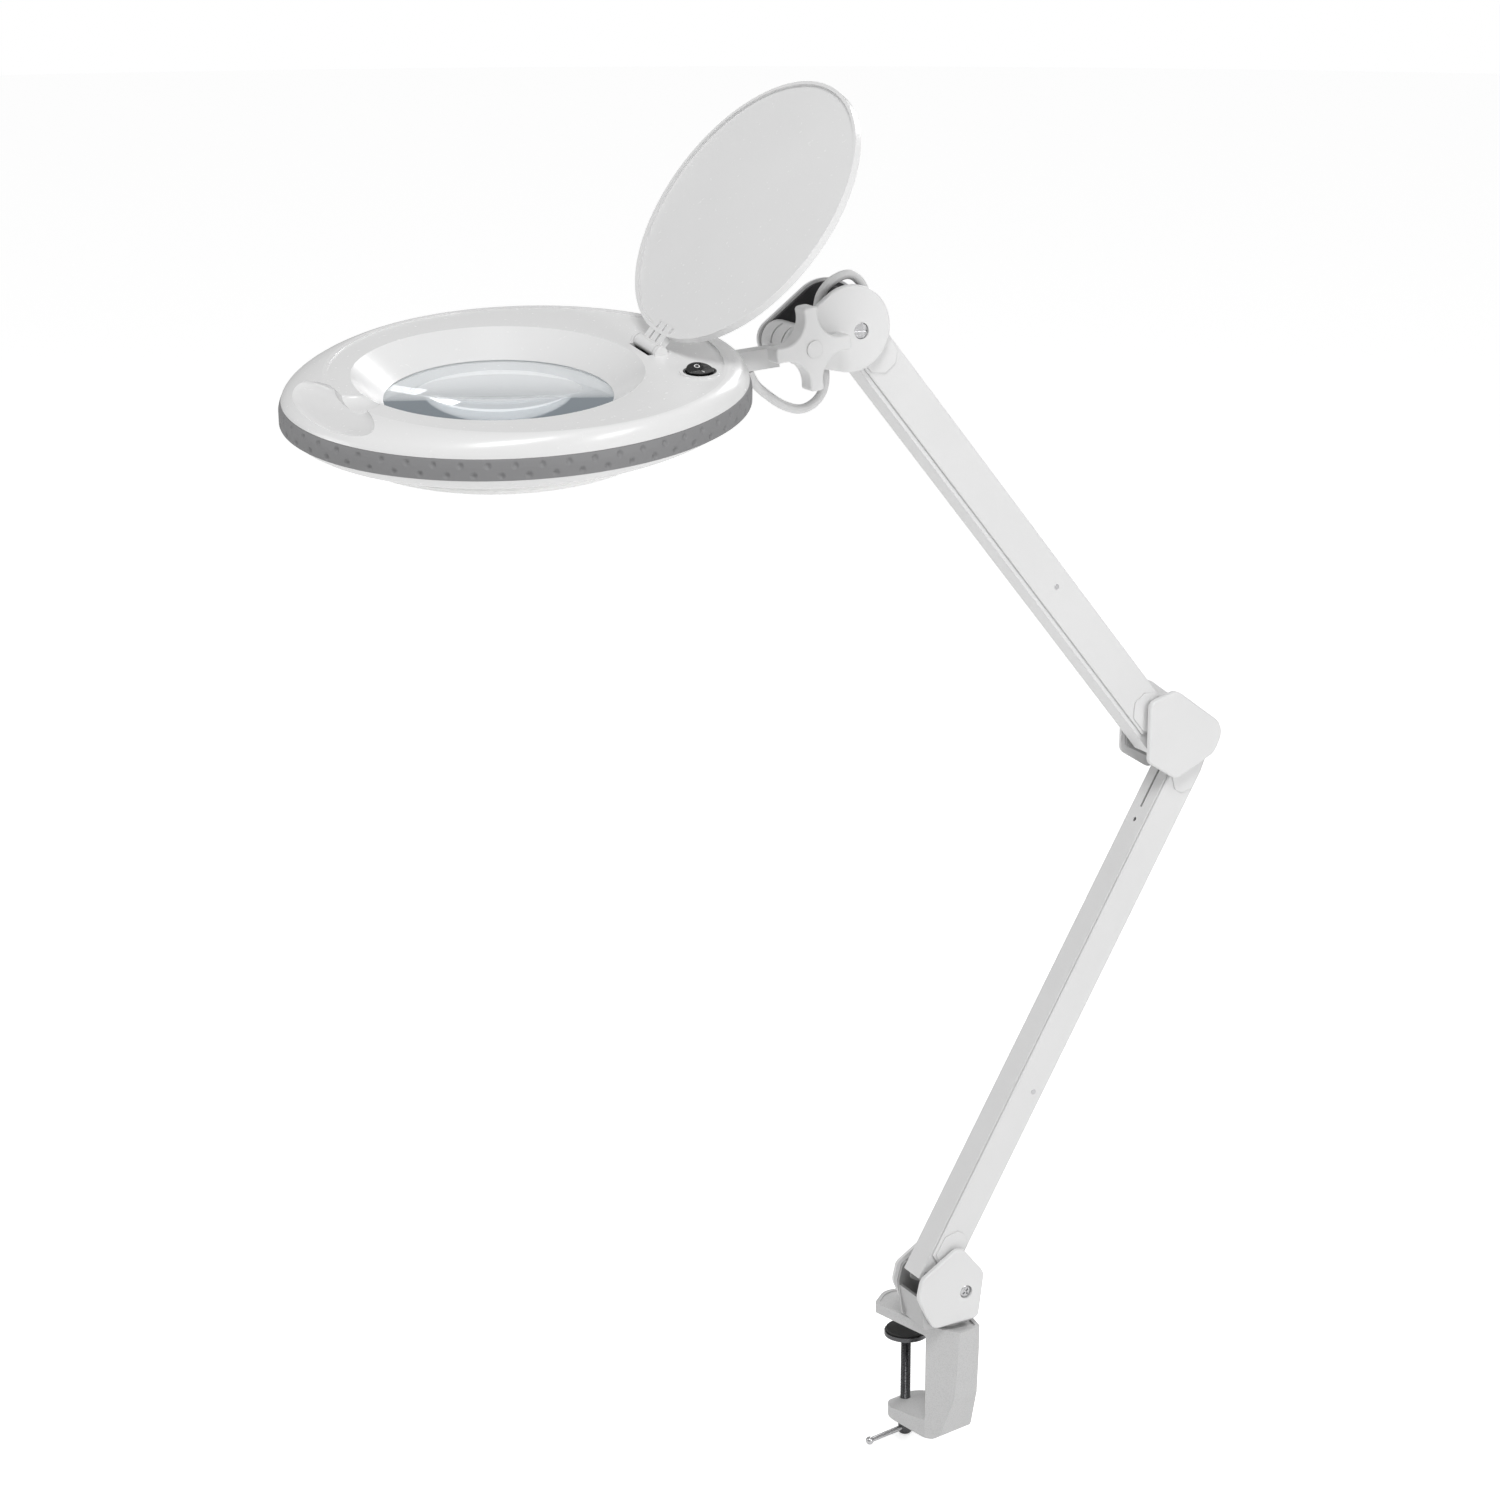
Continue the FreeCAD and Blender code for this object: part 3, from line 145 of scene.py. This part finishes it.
def build_floor():
    """A pale round floor under the lowest point."""
    level = cad_low.z - FLOOR_GAP
    rim = [(FLOOR_RADIUS * x, FLOOR_RADIUS * y, level) for x, y in circle(FLOOR_SIDES)]
    floor = mesh_object("floor", [(0, 0, level)] + rim,
                        [(0, 1 + i, 1 + (i + 1) % FLOOR_SIDES) for i in range(FLOOR_SIDES)])
    mat, net, shader = new_material("floor_paper")
    net.links.new(net.ramp(net.noise(300), grey(0.80), grey(0.86)), shader.inputs["Base Color"])
    shader.inputs["Roughness"].default_value = 0.9
    shader.inputs["Emission Color"].default_value = (1, 1, 1, 1)
    seen = net.add("ShaderNodeLightPath")
    glow = net.add("ShaderNodeMapRange", Value=seen.outputs["Is Camera Ray"])
    glow.inputs["To Min"].default_value = FLOOR_GLOW
    glow.inputs["To Max"].default_value = FLOOR_SEEN
    net.links.new(glow.outputs["Result"], shader.inputs["Emission Strength"])
    floor.data.materials.append(mat)


# ---------------------------------------------------------------- node helpers

# The band in which nearly all of a noise's values lie.
NOISE_LOW, NOISE_HIGH = 0.3, 0.7


def grey(level):
    """A colour without hue."""
    return level, level, level


class Net:
    """A node tree with short calls to add and join nodes."""

    def __init__(self, tree):
        self.nodes, self.links = tree.nodes, tree.links
        self.nodes.clear()

    def add(self, kind, **wires):
        """A new node, with the given outputs wired to the inputs of those names."""
        node = self.nodes.new(kind)
        for socket, source in wires.items():
            self.links.new(source, node.inputs[socket.replace("_", " ")])
        return node

    def place(self, stretch=(1, 1, 1)):
        """Object coordinates in metres, optionally stretched."""
        where = self.add("ShaderNodeTexCoord")
        if stretch == (1, 1, 1):
            return where.outputs["Object"]
        mapping = self.add("ShaderNodeMapping", Vector=where.outputs["Object"])
        mapping.inputs["Scale"].default_value = stretch
        return mapping.outputs["Vector"]

    def noise(self, scale, detail=2, stretch=(1, 1, 1)):
        """A noise between 0 and 1, its scale in marks per metre."""
        node = self.add("ShaderNodeTexNoise", Vector=self.place(stretch))
        node.inputs["Scale"].default_value = scale
        node.inputs["Detail"].default_value = detail
        return node.outputs["Fac"]

    def ramp(self, source, dark, light, low=NOISE_LOW, high=NOISE_HIGH):
        """A colour between dark and light."""
        node = self.add("ShaderNodeValToRGB", Fac=source)
        node.color_ramp.elements[0].position = low
        node.color_ramp.elements[1].position = high
        node.color_ramp.elements[0].color = (*dark, 1)
        node.color_ramp.elements[1].color = (*light, 1)
        return node.outputs["Color"]

    def span(self, source, low, high):
        """A value between low and high."""
        node = self.add("ShaderNodeMapRange", Value=source)
        node.inputs["From Min"].default_value = NOISE_LOW
        node.inputs["From Max"].default_value = NOISE_HIGH
        node.inputs["To Min"].default_value = low
        node.inputs["To Max"].default_value = high
        return node.outputs["Result"]

    def bump(self, source, strength, depth, base=None):
        """A normal with the source as relief, depth in metres."""
        node = self.add("ShaderNodeBump", Height=source)
        node.inputs["Strength"].default_value = strength
        node.inputs["Distance"].default_value = depth
        if base:
            self.links.new(base, node.inputs["Normal"])
        return node.outputs["Normal"]

    def multiply(self, first, second):
        """The product of two colours."""
        node = self.add("ShaderNodeMix")
        node.data_type, node.blend_type = "RGBA", "MULTIPLY"
        sockets = {socket.identifier: socket for socket in node.inputs}
        sockets["Factor_Float"].default_value = 1.0
        self.links.new(first, sockets["A_Color"])
        self.links.new(second, sockets["B_Color"])
        return next(s for s in node.outputs if s.identifier == "Result_Color")


def new_material(name):
    """A material with an empty Principled shader."""
    mat = bpy.data.materials.new(name)
    mat.use_nodes = True
    net = Net(mat.node_tree)
    shader = net.add("ShaderNodeBsdfPrincipled")
    out = net.add("ShaderNodeOutputMaterial")
    net.links.new(shader.outputs["BSDF"], out.inputs["Surface"])
    return mat, net, shader


def surface(name, colour, rough, tint=0.03, grain=900, relief=0.1, depth=0.05, metal=0.0,
            coat=0.0, soften=0.0, stretch=(1, 1, 1), spread=0.05, speckle=0.0):
    """A surface with colour drift, fine relief and uneven gloss.  Grain in marks per metre,
    depth and soften (how far edges look rounded) in mm."""
    mat, net, shader = new_material(name)
    fine = net.noise(grain, 3, stretch)
    drift = net.noise(14)
    dark = tuple(c * (1 - tint) for c in colour)
    tone = net.ramp(drift, dark, colour)
    if speckle:
        spots = net.ramp(fine, grey(1 - speckle), grey(1), 0.35, 0.55)
        tone = net.multiply(tone, spots)
    net.links.new(tone, shader.inputs["Base Color"])
    net.links.new(net.span(fine, rough - spread, rough + spread), shader.inputs["Roughness"])
    base = None
    if soften:
        edge = net.add("ShaderNodeBevel")
        edge.samples = 4
        edge.inputs["Radius"].default_value = soften * MM
        base = edge.outputs["Normal"]
    net.links.new(net.bump(fine, relief, depth * MM, base), shader.inputs["Normal"])
    shader.inputs["Metallic"].default_value = metal
    if coat:
        shader.inputs["Coat Weight"].default_value = coat
        shader.inputs["Coat Roughness"].default_value = 0.12
    return mat


def lens_glass():
    """Clear glass with a faint blue tint, and a faint painted glow that stands in for the studio's
    light caught in it.
    """
    mat, net, shader = new_material("lens_glass")
    shader.inputs["Transmission Weight"].default_value = 1.0
    shader.inputs["IOR"].default_value = 1.52
    haze = net.noise(40)
    net.links.new(net.ramp(haze, (0.955, 0.975, 0.985), (0.975, 0.99, 1.0)),
                  shader.inputs["Base Color"])
    net.links.new(net.span(haze, 0.0, 0.012), shader.inputs["Roughness"])
    # Painted glow: the glass emits a faint blue light, though it is no lamp, in place of the light
    # caught in the lens.
    shader.inputs["Emission Color"].default_value = (0.78, 0.9, 1.0, 1)
    shader.inputs["Emission Strength"].default_value = 0.035
    return mat


def frosted_edge_painted_glow():
    """The frosted ground rim of the glass, with a painted glow that stands in for the light caught
    in the lens.
    """
    mat = surface("frosted_edge_painted_glow", (0.78, 0.90, 0.98), 0.5, grain=1500, relief=0.2)
    shader = mat.node_tree.nodes["Principled BSDF"]
    # Painted glow: the rim emits pale blue light, though it is no lamp, standing in for the bright
    # rim of the lens.
    shader.inputs["Emission Color"].default_value = (0.72, 0.87, 1.0, 1)
    shader.inputs["Emission Strength"].default_value = 0.5
    return mat


def diffuser():
    """Frosted white plastic that lets light into its surface."""
    mat, net, shader = new_material("diffuser")
    frost = net.noise(1600, 3)
    net.links.new(net.ramp(net.noise(20), (0.80, 0.80, 0.79), (0.86, 0.86, 0.85)),
                  shader.inputs["Base Color"])
    net.links.new(net.span(frost, 0.4, 0.55), shader.inputs["Roughness"])
    net.links.new(net.bump(frost, 0.15, 0.04 * MM), shader.inputs["Normal"])
    shader.inputs["Subsurface Weight"].default_value = 0.35
    shader.inputs["Subsurface Radius"].default_value = (1, 1, 1)
    shader.inputs["Subsurface Scale"].default_value = 1.5 * MM
    return mat


def all_materials():
    """The record's material slots, and two that only scene.py's own pieces have."""
    return {
        "clamp_paint": surface("clamp_paint", grey(0.60), 0.5, grain=1500, relief=0.5, depth=0.14,
                               soften=0.5, speckle=0.12),
        "arm_paint": surface("arm_paint", grey(0.76), 0.36, grain=1100, relief=0.18, coat=0.15,
                             soften=0.4),
        "white_plastic": surface("white_plastic", grey(0.77), 0.34, grain=1300, relief=0.12,
                                 depth=0.04, soften=0.4),
        "shell_plastic": surface("shell_plastic", grey(0.80), 0.27, grain=420, relief=0.001,
                                 depth=0.01, spread=0.004, coat=0.2),
        "band_rubber": surface("band_rubber", (0.235, 0.235, 0.24), 0.55, grain=1800, relief=0.25,
                               depth=0.06),
        "diffuser": diffuser(),
        "lens_glass": lens_glass(),
        "frosted_edge_painted_glow": frosted_edge_painted_glow(),
        "switch_black": surface("switch_black", grey(0.004), 0.12, relief=0.02, depth=0.01,
                                soften=0.3),
        "dark_steel": surface("dark_steel", (0.13, 0.13, 0.135), 0.3, metal=1.0, grain=700,
                              depth=0.03, tint=0.12),
        "bright_steel": surface("bright_steel", (0.62, 0.62, 0.63), 0.24, metal=1.0, relief=0.08,
                                depth=0.03, tint=0.06, soften=0.25),
        "bracket_steel": surface("bracket_steel", grey(0.50), 0.42, metal=0.6, grain=500,
                                 relief=0.12, stretch=(1, 1, 6), soften=0.4),
        "bracket_dark": surface("bracket_dark", (0.045, 0.045, 0.048), 0.5, grain=1200,
                                relief=0.2, soften=0.4),
        "black_rubber": surface("black_rubber", grey(0.03), 0.62, grain=1600, relief=0.3,
                                depth=0.08),
        "inner_plastic": surface("inner_plastic", (0.62, 0.62, 0.61), 0.45, relief=0.15,
                                 soften=0.3),
        "circuit_board": surface("circuit_board", (0.72, 0.72, 0.70), 0.4, grain=2200,
                                 relief=0.2, tint=0.08),
        "led_phosphor": surface("led_phosphor", (0.80, 0.66, 0.20), 0.4, grain=3000, relief=0.2,
                                tint=0.1),
        "cable_sheath": surface("cable_sheath", grey(0.72), 0.42, grain=1500, relief=0.12),
        "mark_paint": surface("mark_paint", grey(0.85), 0.4, grain=2500),
    }


# ---------------------------------------------------------------- mesh helpers

def circle(sides):
    """Points round the unit circle."""
    return [(math.cos(math.tau * i / sides), math.sin(math.tau * i / sides))
            for i in range(sides)]


def turned(x=0, y=0, z=0):
    """A rotation about the axes, in degrees."""
    return Euler([math.radians(angle) for angle in (x, y, z)]).to_matrix().to_4x4()


def mesh_object(name, points, faces, place=None):
    """An object with a mesh of these points and faces, put at a place."""
    mesh = bpy.data.meshes.new(name)
    mesh.from_pydata([tuple(p) for p in points], [], faces)
    mesh.update()
    item = bpy.data.objects.new(name, mesh)
    if place:
        item.matrix_world = place
    bpy.context.scene.collection.objects.link(item)
    return item


def dress(item, slot, body=None, sharp=35):
    """Smooth shading with crisp edges, the slot's material, and the body it rides on."""
    item.data.materials.append(MATERIALS[slot])
    item.data.polygons.foreach_set("use_smooth", [True] * len(item.data.polygons))
    item.data.set_sharp_from_angle(angle=math.radians(sharp))
    if body:
        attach(item, body)
    return item


def skin(rows, capped=True):
    """Points and faces of a surface through closed rows of points, all equally long."""
    count = len(rows[0])
    points = [p for row in rows for p in row]
    faces = []
    for j in range(len(rows) - 1):
        for i in range(count):
            k = (i + 1) % count
            faces.append((j * count + i, j * count + k, (j + 1) * count + k,
                          (j + 1) * count + i))
    if capped:
        faces.append(tuple(reversed(range(count))))
        faces.append(tuple(range((len(rows) - 1) * count, len(rows) * count)))
    return points, faces


def lathe(profile, sides):
    """Rows of a shape turned about Z from (radius, height) in mm."""
    return [[(r * x * MM, r * y * MM, z * MM) for x, y in circle(sides)] for r, z in profile]


def carve(item, tool):
    """Take a tool's volume out of a mesh."""
    cutter = item.modifiers.new("carve", "BOOLEAN")
    cutter.operation, cutter.solver, cutter.object = "DIFFERENCE", "EXACT", tool
    bpy.context.view_layer.update()
    done = bpy.data.meshes.new_from_object(
        item.evaluated_get(bpy.context.evaluated_depsgraph_get()))
    item.modifiers.clear()
    item.data = done
    bpy.data.objects.remove(tool)


def head_frame():
    """Matrix from the head's own frame to the row frame."""
    low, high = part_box("lens")
    turn = turned(y=HEAD_PITCH) @ turned(x=HEAD_ROLL)
    return (Matrix.Translation((low + high) / 2) @ turn
            @ Matrix.Translation((0, 0, HEAD_OVER_GLASS)))


# ---------------------------------------------------------------- pieces

# The pieces' sizes are in mm, as in the CAD, and heights are in the head's own frame.
# The band's half axes, and how far its middle lies from the lens axis.
BAND_LONG, BAND_WIDE, BAND_SHIFT = 120.0, 103.5, 10.3
BAND_TOP, BAND_MIDDLE, BAND_BOTTOM = 3.5, -1.0, -7.3
BAND_BULGE, BAND_THICK, BAND_ROUND = 1.3, 3.0, 0.35
BAND_COLUMNS, BAND_LEVELS = 1760, 24
DIMPLE_PITCH, DIMPLE_RADIUS, DIMPLE_DEPTH = 13.0, 1.9, 1.1
# Each row of dimples: its height, and how far it is staggered in pitches.
DIMPLE_ROWS = ((0.3, 0.0), (-4.5, 0.5))
NECK_HOLE, NECK_HOLE_Z = 4.25, -2.0


def rim_band():
    """The rubber band round the head, with two staggered rows of dimples."""
    ring = circle(BAND_COLUMNS)
    travel = [0.0]
    for (x, y), (next_x, next_y) in zip(ring, ring[1:] + ring[:1]):
        travel.append(travel[-1] + math.hypot(BAND_LONG * (next_x - x),
                                              BAND_WIDE * (next_y - y)))
    pitch = travel[-1] / round(travel[-1] / DIMPLE_PITCH)

    def dimple(along, z):
        for row_z, stagger in DIMPLE_ROWS:
            off = (along / pitch - stagger + 0.5) % 1.0 - 0.5
            share = (off * pitch) ** 2 + (z - row_z) ** 2
            if share < DIMPLE_RADIUS ** 2:
                return DIMPLE_DEPTH * (1 - share / DIMPLE_RADIUS ** 2) ** 1.3
        return 0.0

    def row(z, inset, pitted=False):
        line = []
        for (x, y), along in zip(ring, travel):
            pit = inset + (dimple(along, z) if pitted else 0)
            line.append(((BAND_SHIFT + (BAND_LONG - pit) * x) * MM,
                         (BAND_WIDE - pit) * y * MM, z * MM))
        return line

    rows = [row(BAND_BOTTOM, BAND_THICK), row(BAND_BOTTOM, -BAND_BULGE + 0.5)]
    for j in range(BAND_LEVELS + 1):
        z = (BAND_BOTTOM + BAND_ROUND
             + (BAND_TOP - BAND_BOTTOM - 2 * BAND_ROUND) * j / BAND_LEVELS)
        share = max(0.0, (z - BAND_MIDDLE) / (BAND_TOP - BAND_MIDDLE))
        rows.append(row(z, -BAND_BULGE * (1 - share ** 1.5), True))
    rows += [row(BAND_TOP, 0.4), row(BAND_TOP, BAND_THICK), row(BAND_BOTTOM, BAND_THICK)]
    points, faces = skin(rows, False)

    def bare(face):
        middle = sum((Vector(points[i]) for i in face), Vector()) / len(face) / MM
        off = math.hypot(middle.y, middle.z - NECK_HOLE_Z)
        return middle.x < 0 or off > NECK_HOLE

    item = mesh_object("dimpled_band", points, [f for f in faces if bare(f)], HEAD)
    dress(item, "band_rubber", "head", 50)
    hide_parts("rim_band")


# The glass: its radius, its thickness at the rim, the radius of its two faces.
LENS_RADIUS, LENS_EDGE, LENS_CURVE = 63.5, 3.0, 348.0
LENS_SIDES = 192


def lens():
    """A ground lens, domed on both faces, with a small bevel, in a thin frosted edge that carries a
    painted glow.
    """
    crown = math.sqrt(LENS_CURVE ** 2 - LENS_RADIUS ** 2)
    half_edge = LENS_EDGE / 2
    rings = 40

    def height(r):
        return half_edge + math.sqrt(LENS_CURVE ** 2 - r * r) - crown

    radii = [LENS_RADIUS * (j + 0.25) / (rings + 0.6) for j in range(rings + 1)]
    upper = [(r, height(r)) for r in radii]
    upper += [(LENS_RADIUS - 0.35, half_edge + 0.03), (LENS_RADIUS, half_edge - 0.3)]
    lower = [(r, -z) for r, z in upper]
    points, faces = skin(lathe(lower + upper[::-1], LENS_SIDES))
    place = HEAD @ Matrix.Translation((0, 0, -HEAD_OVER_GLASS))
    item = mesh_object("ground_lens", points, faces, place)
    dress(item, "lens_glass", "head", 25)
    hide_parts("lens")

    # The thin frosted rim round the glass, with its painted glow.
    inner, outer, half = LENS_RADIUS + 0.04, LENS_RADIUS + 0.16, half_edge - 0.1
    points, faces = skin(lathe([(inner, -half), (outer, -half), (outer, half), (inner, half),
                                (inner, -half)], LENS_SIDES), False)
    dress(mesh_object("lens_edge", points, faces, place), "frosted_edge_painted_glow", "head", 30)


SCREW_RADIUS, NECK_RADIUS, NECK_LENGTH = 3.0, 2.5, 5.45
THREAD_PITCH, THREAD_DEPTH, THREAD_RUN_OUT = 1.0, 0.55, 1.5
COLLAR_RADIUS, COLLAR_LENGTH = 4.0, 8.0


def clamp_screw():
    """The clamp screw with a cut thread, its collar and its smooth neck."""
    low, high = (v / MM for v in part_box("clamp_screw"))
    collar_top = low.z + COLLAR_LENGTH
    shoulder = high.z - NECK_LENGTH
    sides, step = 48, 0.125
    rows = lathe([(COLLAR_RADIUS - 0.9, low.z), (COLLAR_RADIUS, low.z + 0.9),
                  (COLLAR_RADIUS, collar_top - 0.6), (COLLAR_RADIUS - 0.6, collar_top),
                  (SCREW_RADIUS - THREAD_DEPTH, collar_top + 0.05)], sides)
    for j in range(int((shoulder - collar_top - 0.3) / step)):
        z = collar_top + 0.2 + j * step
        crest = min(1.0, (shoulder - z) / THREAD_RUN_OUT)
        line = []
        for i, (x, y) in enumerate(circle(sides)):
            groove = abs((z / THREAD_PITCH - i / sides) % 1.0 - 0.5) * 2
            r = SCREW_RADIUS - THREAD_DEPTH * (1 - (1 - groove) * crest)
            line.append((r * x * MM, r * y * MM, z * MM))
        rows.append(line)
    rows += lathe([(NECK_RADIUS, shoulder), (NECK_RADIUS, high.z)], sides)
    points, faces = skin(rows)
    item = mesh_object("threaded_screw", points, faces)
    dress(item, "dark_steel", "clamp_screw", 60)
    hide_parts("clamp_screw")


# The recess: its half sizes as shares of the screw's radius, its depth, its turn in degrees.
CROSS_HALF_LONG, CROSS_HALF_WIDE, CROSS_DEPTH, CROSS_TURN = 0.62, 0.14, 0.95, 38


def crosshead_screws():
    """Domed screws with a cross recess, one in each base cover."""
    low, high = (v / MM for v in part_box("base_cover_screws"))
    middle, radius = (low + high) / 2, (high.z - low.z) / 2
    dome = [(radius - 0.25, -1.5), (radius, -1.2), (radius, -0.5), (radius - 0.5, -0.15),
            (radius * 0.55, 0.0), (radius * 0.2, 0.05)]
    long, wide = radius * CROSS_HALF_LONG, radius * CROSS_HALF_WIDE
    for side, seat, tip in (("near", low.y, 90), ("far", high.y, -90)):
        head = mesh_object("cross_screw_" + side, *skin(lathe(dome, 48)))
        for half_x, half_y in ((long, wide), (wide, long)):
            rows = [[(x * half_x * MM, y * half_y * MM, z * MM)
                     for x, y in ((-1, -1), (1, -1), (1, 1), (-1, 1))]
                    for z in (-CROSS_DEPTH, 1)]
            carve(head, mesh_object("recess", *skin(rows)))
        head.matrix_world = (Matrix.Translation(Vector((middle.x, seat, middle.z)) * MM)
                             @ turned(x=tip) @ turned(z=CROSS_TURN))
        dress(head, "bright_steel", "base_bracket", 30)
        if side == "near":
            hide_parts("base_cover_screws")


# The rocker's pivot in the head's own frame, its tilt at rest in degrees, and the height
# and the slope of its two halves over the pivot.
ROCKER_PIVOT = Vector((89.0, -47.0, 11.5))
ROCKER_TILT, ROCKER_CREST, ROCKER_SLOPE = 6, 3.0, 1.6 / 9.0
MARK_LIFT, MARK_THICK = 0.06, 0.05
RING_MIDDLE, RING_OUTER, RING_INNER = 3.6, 1.5, 1.0
BAR_HALF_WIDE, BAR_START, BAR_END = 0.27, -1.6, -4.6


def rocker_marks():
    """The ring and the bar printed on the two halves of the rocker."""
    rest = HEAD @ Matrix.Translation(ROCKER_PIVOT * MM) @ turned(x=ROCKER_TILT)

    def on_half(x, y):
        return (x * MM, y * MM, (ROCKER_CREST + ROCKER_SLOPE * abs(y) + MARK_LIFT) * MM)

    sides = 48
    ring = [on_half(r * x, RING_MIDDLE + r * y)
            for r in (RING_OUTER, RING_INNER) for x, y in circle(sides)]
    ring_faces = [(i, (i + 1) % sides, sides + (i + 1) % sides, sides + i)
                  for i in range(sides)]
    bar = [on_half(x * BAR_HALF_WIDE, y)
           for x, y in ((-1, BAR_END), (1, BAR_END), (1, BAR_START), (-1, BAR_START))]
    for name, points, faces in (("mark_ring", ring, ring_faces), ("mark_bar", bar, [(0, 1, 2, 3)])):
        mark = mesh_object(name, points, faces, rest)
        mark.modifiers.new("thickness", "SOLIDIFY").thickness = MARK_THICK * MM
        dress(mark, "mark_paint", "rocker")


# The cables, the springs and the arms' pins lie in or beside one upright plane, at this y.
# Places in it are (x, z).  The cables' routes are the CAD's.
ARM_PLANE = -32.0
CABLE_RADIUS = 2.5
ARM_CABLE = [(-43.5, 577), (-48.5, 585.5), (-50.8, 596), (-52, 606.5), (-60, 614.5),
             (-71, 611.5), (-78, 605), (-80, 598), (-80, 592)]
LAMP_CABLE = [(-80, 591.99), (-80, 583), (-78.5, 572.5), (-74.5, 562), (-77, 550),
              (-88, 543.5), (-100, 547), (-110, 554), (-118, 561), (-120, 566.6)]


def in_arm_plane(places):
    """Points in mm for places in the arms' plane."""
    return [Vector((x, ARM_PLANE, z)) for x, z in places]


def curve_line(name, kind, points):
    """A curve on these points in mm, with no thickness yet."""
    curve = bpy.data.curves.new(name, "CURVE")
    curve.dimensions = "3D"
    spline = curve.splines.new(kind)
    spline.points.add(len(points) - 1)
    for knot, point in zip(spline.points, points):
        knot.co = (*(point * MM), 1)
    line = bpy.data.objects.new(name + "_line", curve)
    bpy.context.scene.collection.objects.link(line)
    return line


def round_wire(name, line, radius, resolution):
    """The line's mesh with a round section; the line itself goes."""
    line.data.bevel_depth, line.data.bevel_resolution = radius * MM, resolution
    bpy.context.view_layer.update()
    item = bpy.data.objects.new(name, bpy.data.meshes.new_from_object(line))
    item.data.materials.clear()
    bpy.context.scene.collection.objects.link(item)
    bpy.data.objects.remove(line)
    return item


def cable(name, node, route):
    """A round cable on a smooth curve."""
    line = curve_line(name, "NURBS", in_arm_plane(route))
    line.data.resolution_u = 16
    line.data.splines[0].order_u = 3
    line.data.splines[0].use_endpoint_u = True
    bpy.context.view_layer.update()
    path = [tuple(v.co) for v in bpy.data.meshes.new_from_object(line).vertices]
    line.data.use_fill_caps = True
    item = dress(round_wire(name, line, CABLE_RADIUS, 6), "cable_sheath", sharp=60)
    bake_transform(item)
    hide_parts(node)


# Each arm's main pivot, the pin its springs hook on, and its far pivot, as in the CAD.
LOWER_ARM = ((-4.7, 37.2), (-10.78, 40.67), (163.76, 332.53))
UPPER_ARM = ((138.51, 339.5), (132.31, 334.45), (-62.48, 585.94))
# The springs' far pin along the arm and over it, and how far each lies to its side.
SPRING_REACH, ANCHOR_OFFSET, SPRING_SIDE = 120.0, 3.0, 3.8
COIL_RADIUS, COIL_PITCH, WIRE_RADIUS, EYE_RADIUS, HOOK_LENGTH = 2.3, 1.5, 0.4, 2.8, 14.0
COIL_STEPS, EYE_STEPS = 14, 24


def spring_wire(length):
    """The wire's centre line along x: an eye, a close-wound coil and an eye."""
    arc = [math.tau * i / EYE_STEPS for i in range(EYE_STEPS + 1)]
    near_eye = [(EYE_RADIUS * math.cos(a), 0, EYE_RADIUS * math.sin(a)) for a in arc]
    far_eye = [(length - x, y, z) for x, y, z in near_eye]
    coiled = length - 2 * HOOK_LENGTH
    steps = round(coiled / COIL_PITCH) * COIL_STEPS
    coil = []
    for i in range(steps + 1):
        a = math.tau * i / COIL_STEPS
        coil.append((HOOK_LENGTH + coiled * i / steps, COIL_RADIUS * math.sin(a),
                     COIL_RADIUS * math.cos(a)))
    return near_eye + coil + far_eye


def balance_springs(name, node, arm):
    """Two coil springs side by side in an arm."""
    pivot, pin, far = in_arm_plane(arm)
    anchor = (pivot + (far - pivot).normalized() * SPRING_REACH
              + (pivot - pin).normalized() * ANCHOR_OFFSET)
    way, across = (anchor - pin).normalized(), Vector((0, 1, 0))
    up = way.cross(across)
    wire = spring_wire((anchor - pin).length)
    for side, label in ((-1, "near"), (1, "far")):
        route = [pin + way * x + across * (side * SPRING_SIDE + y) + up * z for x, y, z in wire]
        line = curve_line(name, "POLY", route)
        item = dress(round_wire(name + "_" + label, line, WIRE_RADIUS, 1), "bright_steel",
                     sharp=80)
        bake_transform(item)
        if label == "near":
            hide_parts(node)


# ---------------------------------------------------------------- the scene

MATERIALS = all_materials()
HEAD = head_frame()

build_camera()
cable("arm_cable_sheath", "arm_cable", ARM_CABLE)
cable("lamp_cable_sheath", "lamp_cable", LAMP_CABLE)

balance_springs("lower_coil", "lower_springs", LOWER_ARM)
balance_springs("upper_coil", "upper_springs", UPPER_ARM)

for entry in frame["record"]["subparts"]:
    node = frame["nodes"][entry["node"]]
    node.data.materials.clear()
    node.data.materials.append(MATERIALS[entry["material_slot"]])

rim_band()
lens()
clamp_screw()
crosshead_screws()
rocker_marks()
build_floor()
build_light()
bpy.context.scene.view_settings.view_transform = "Standard"
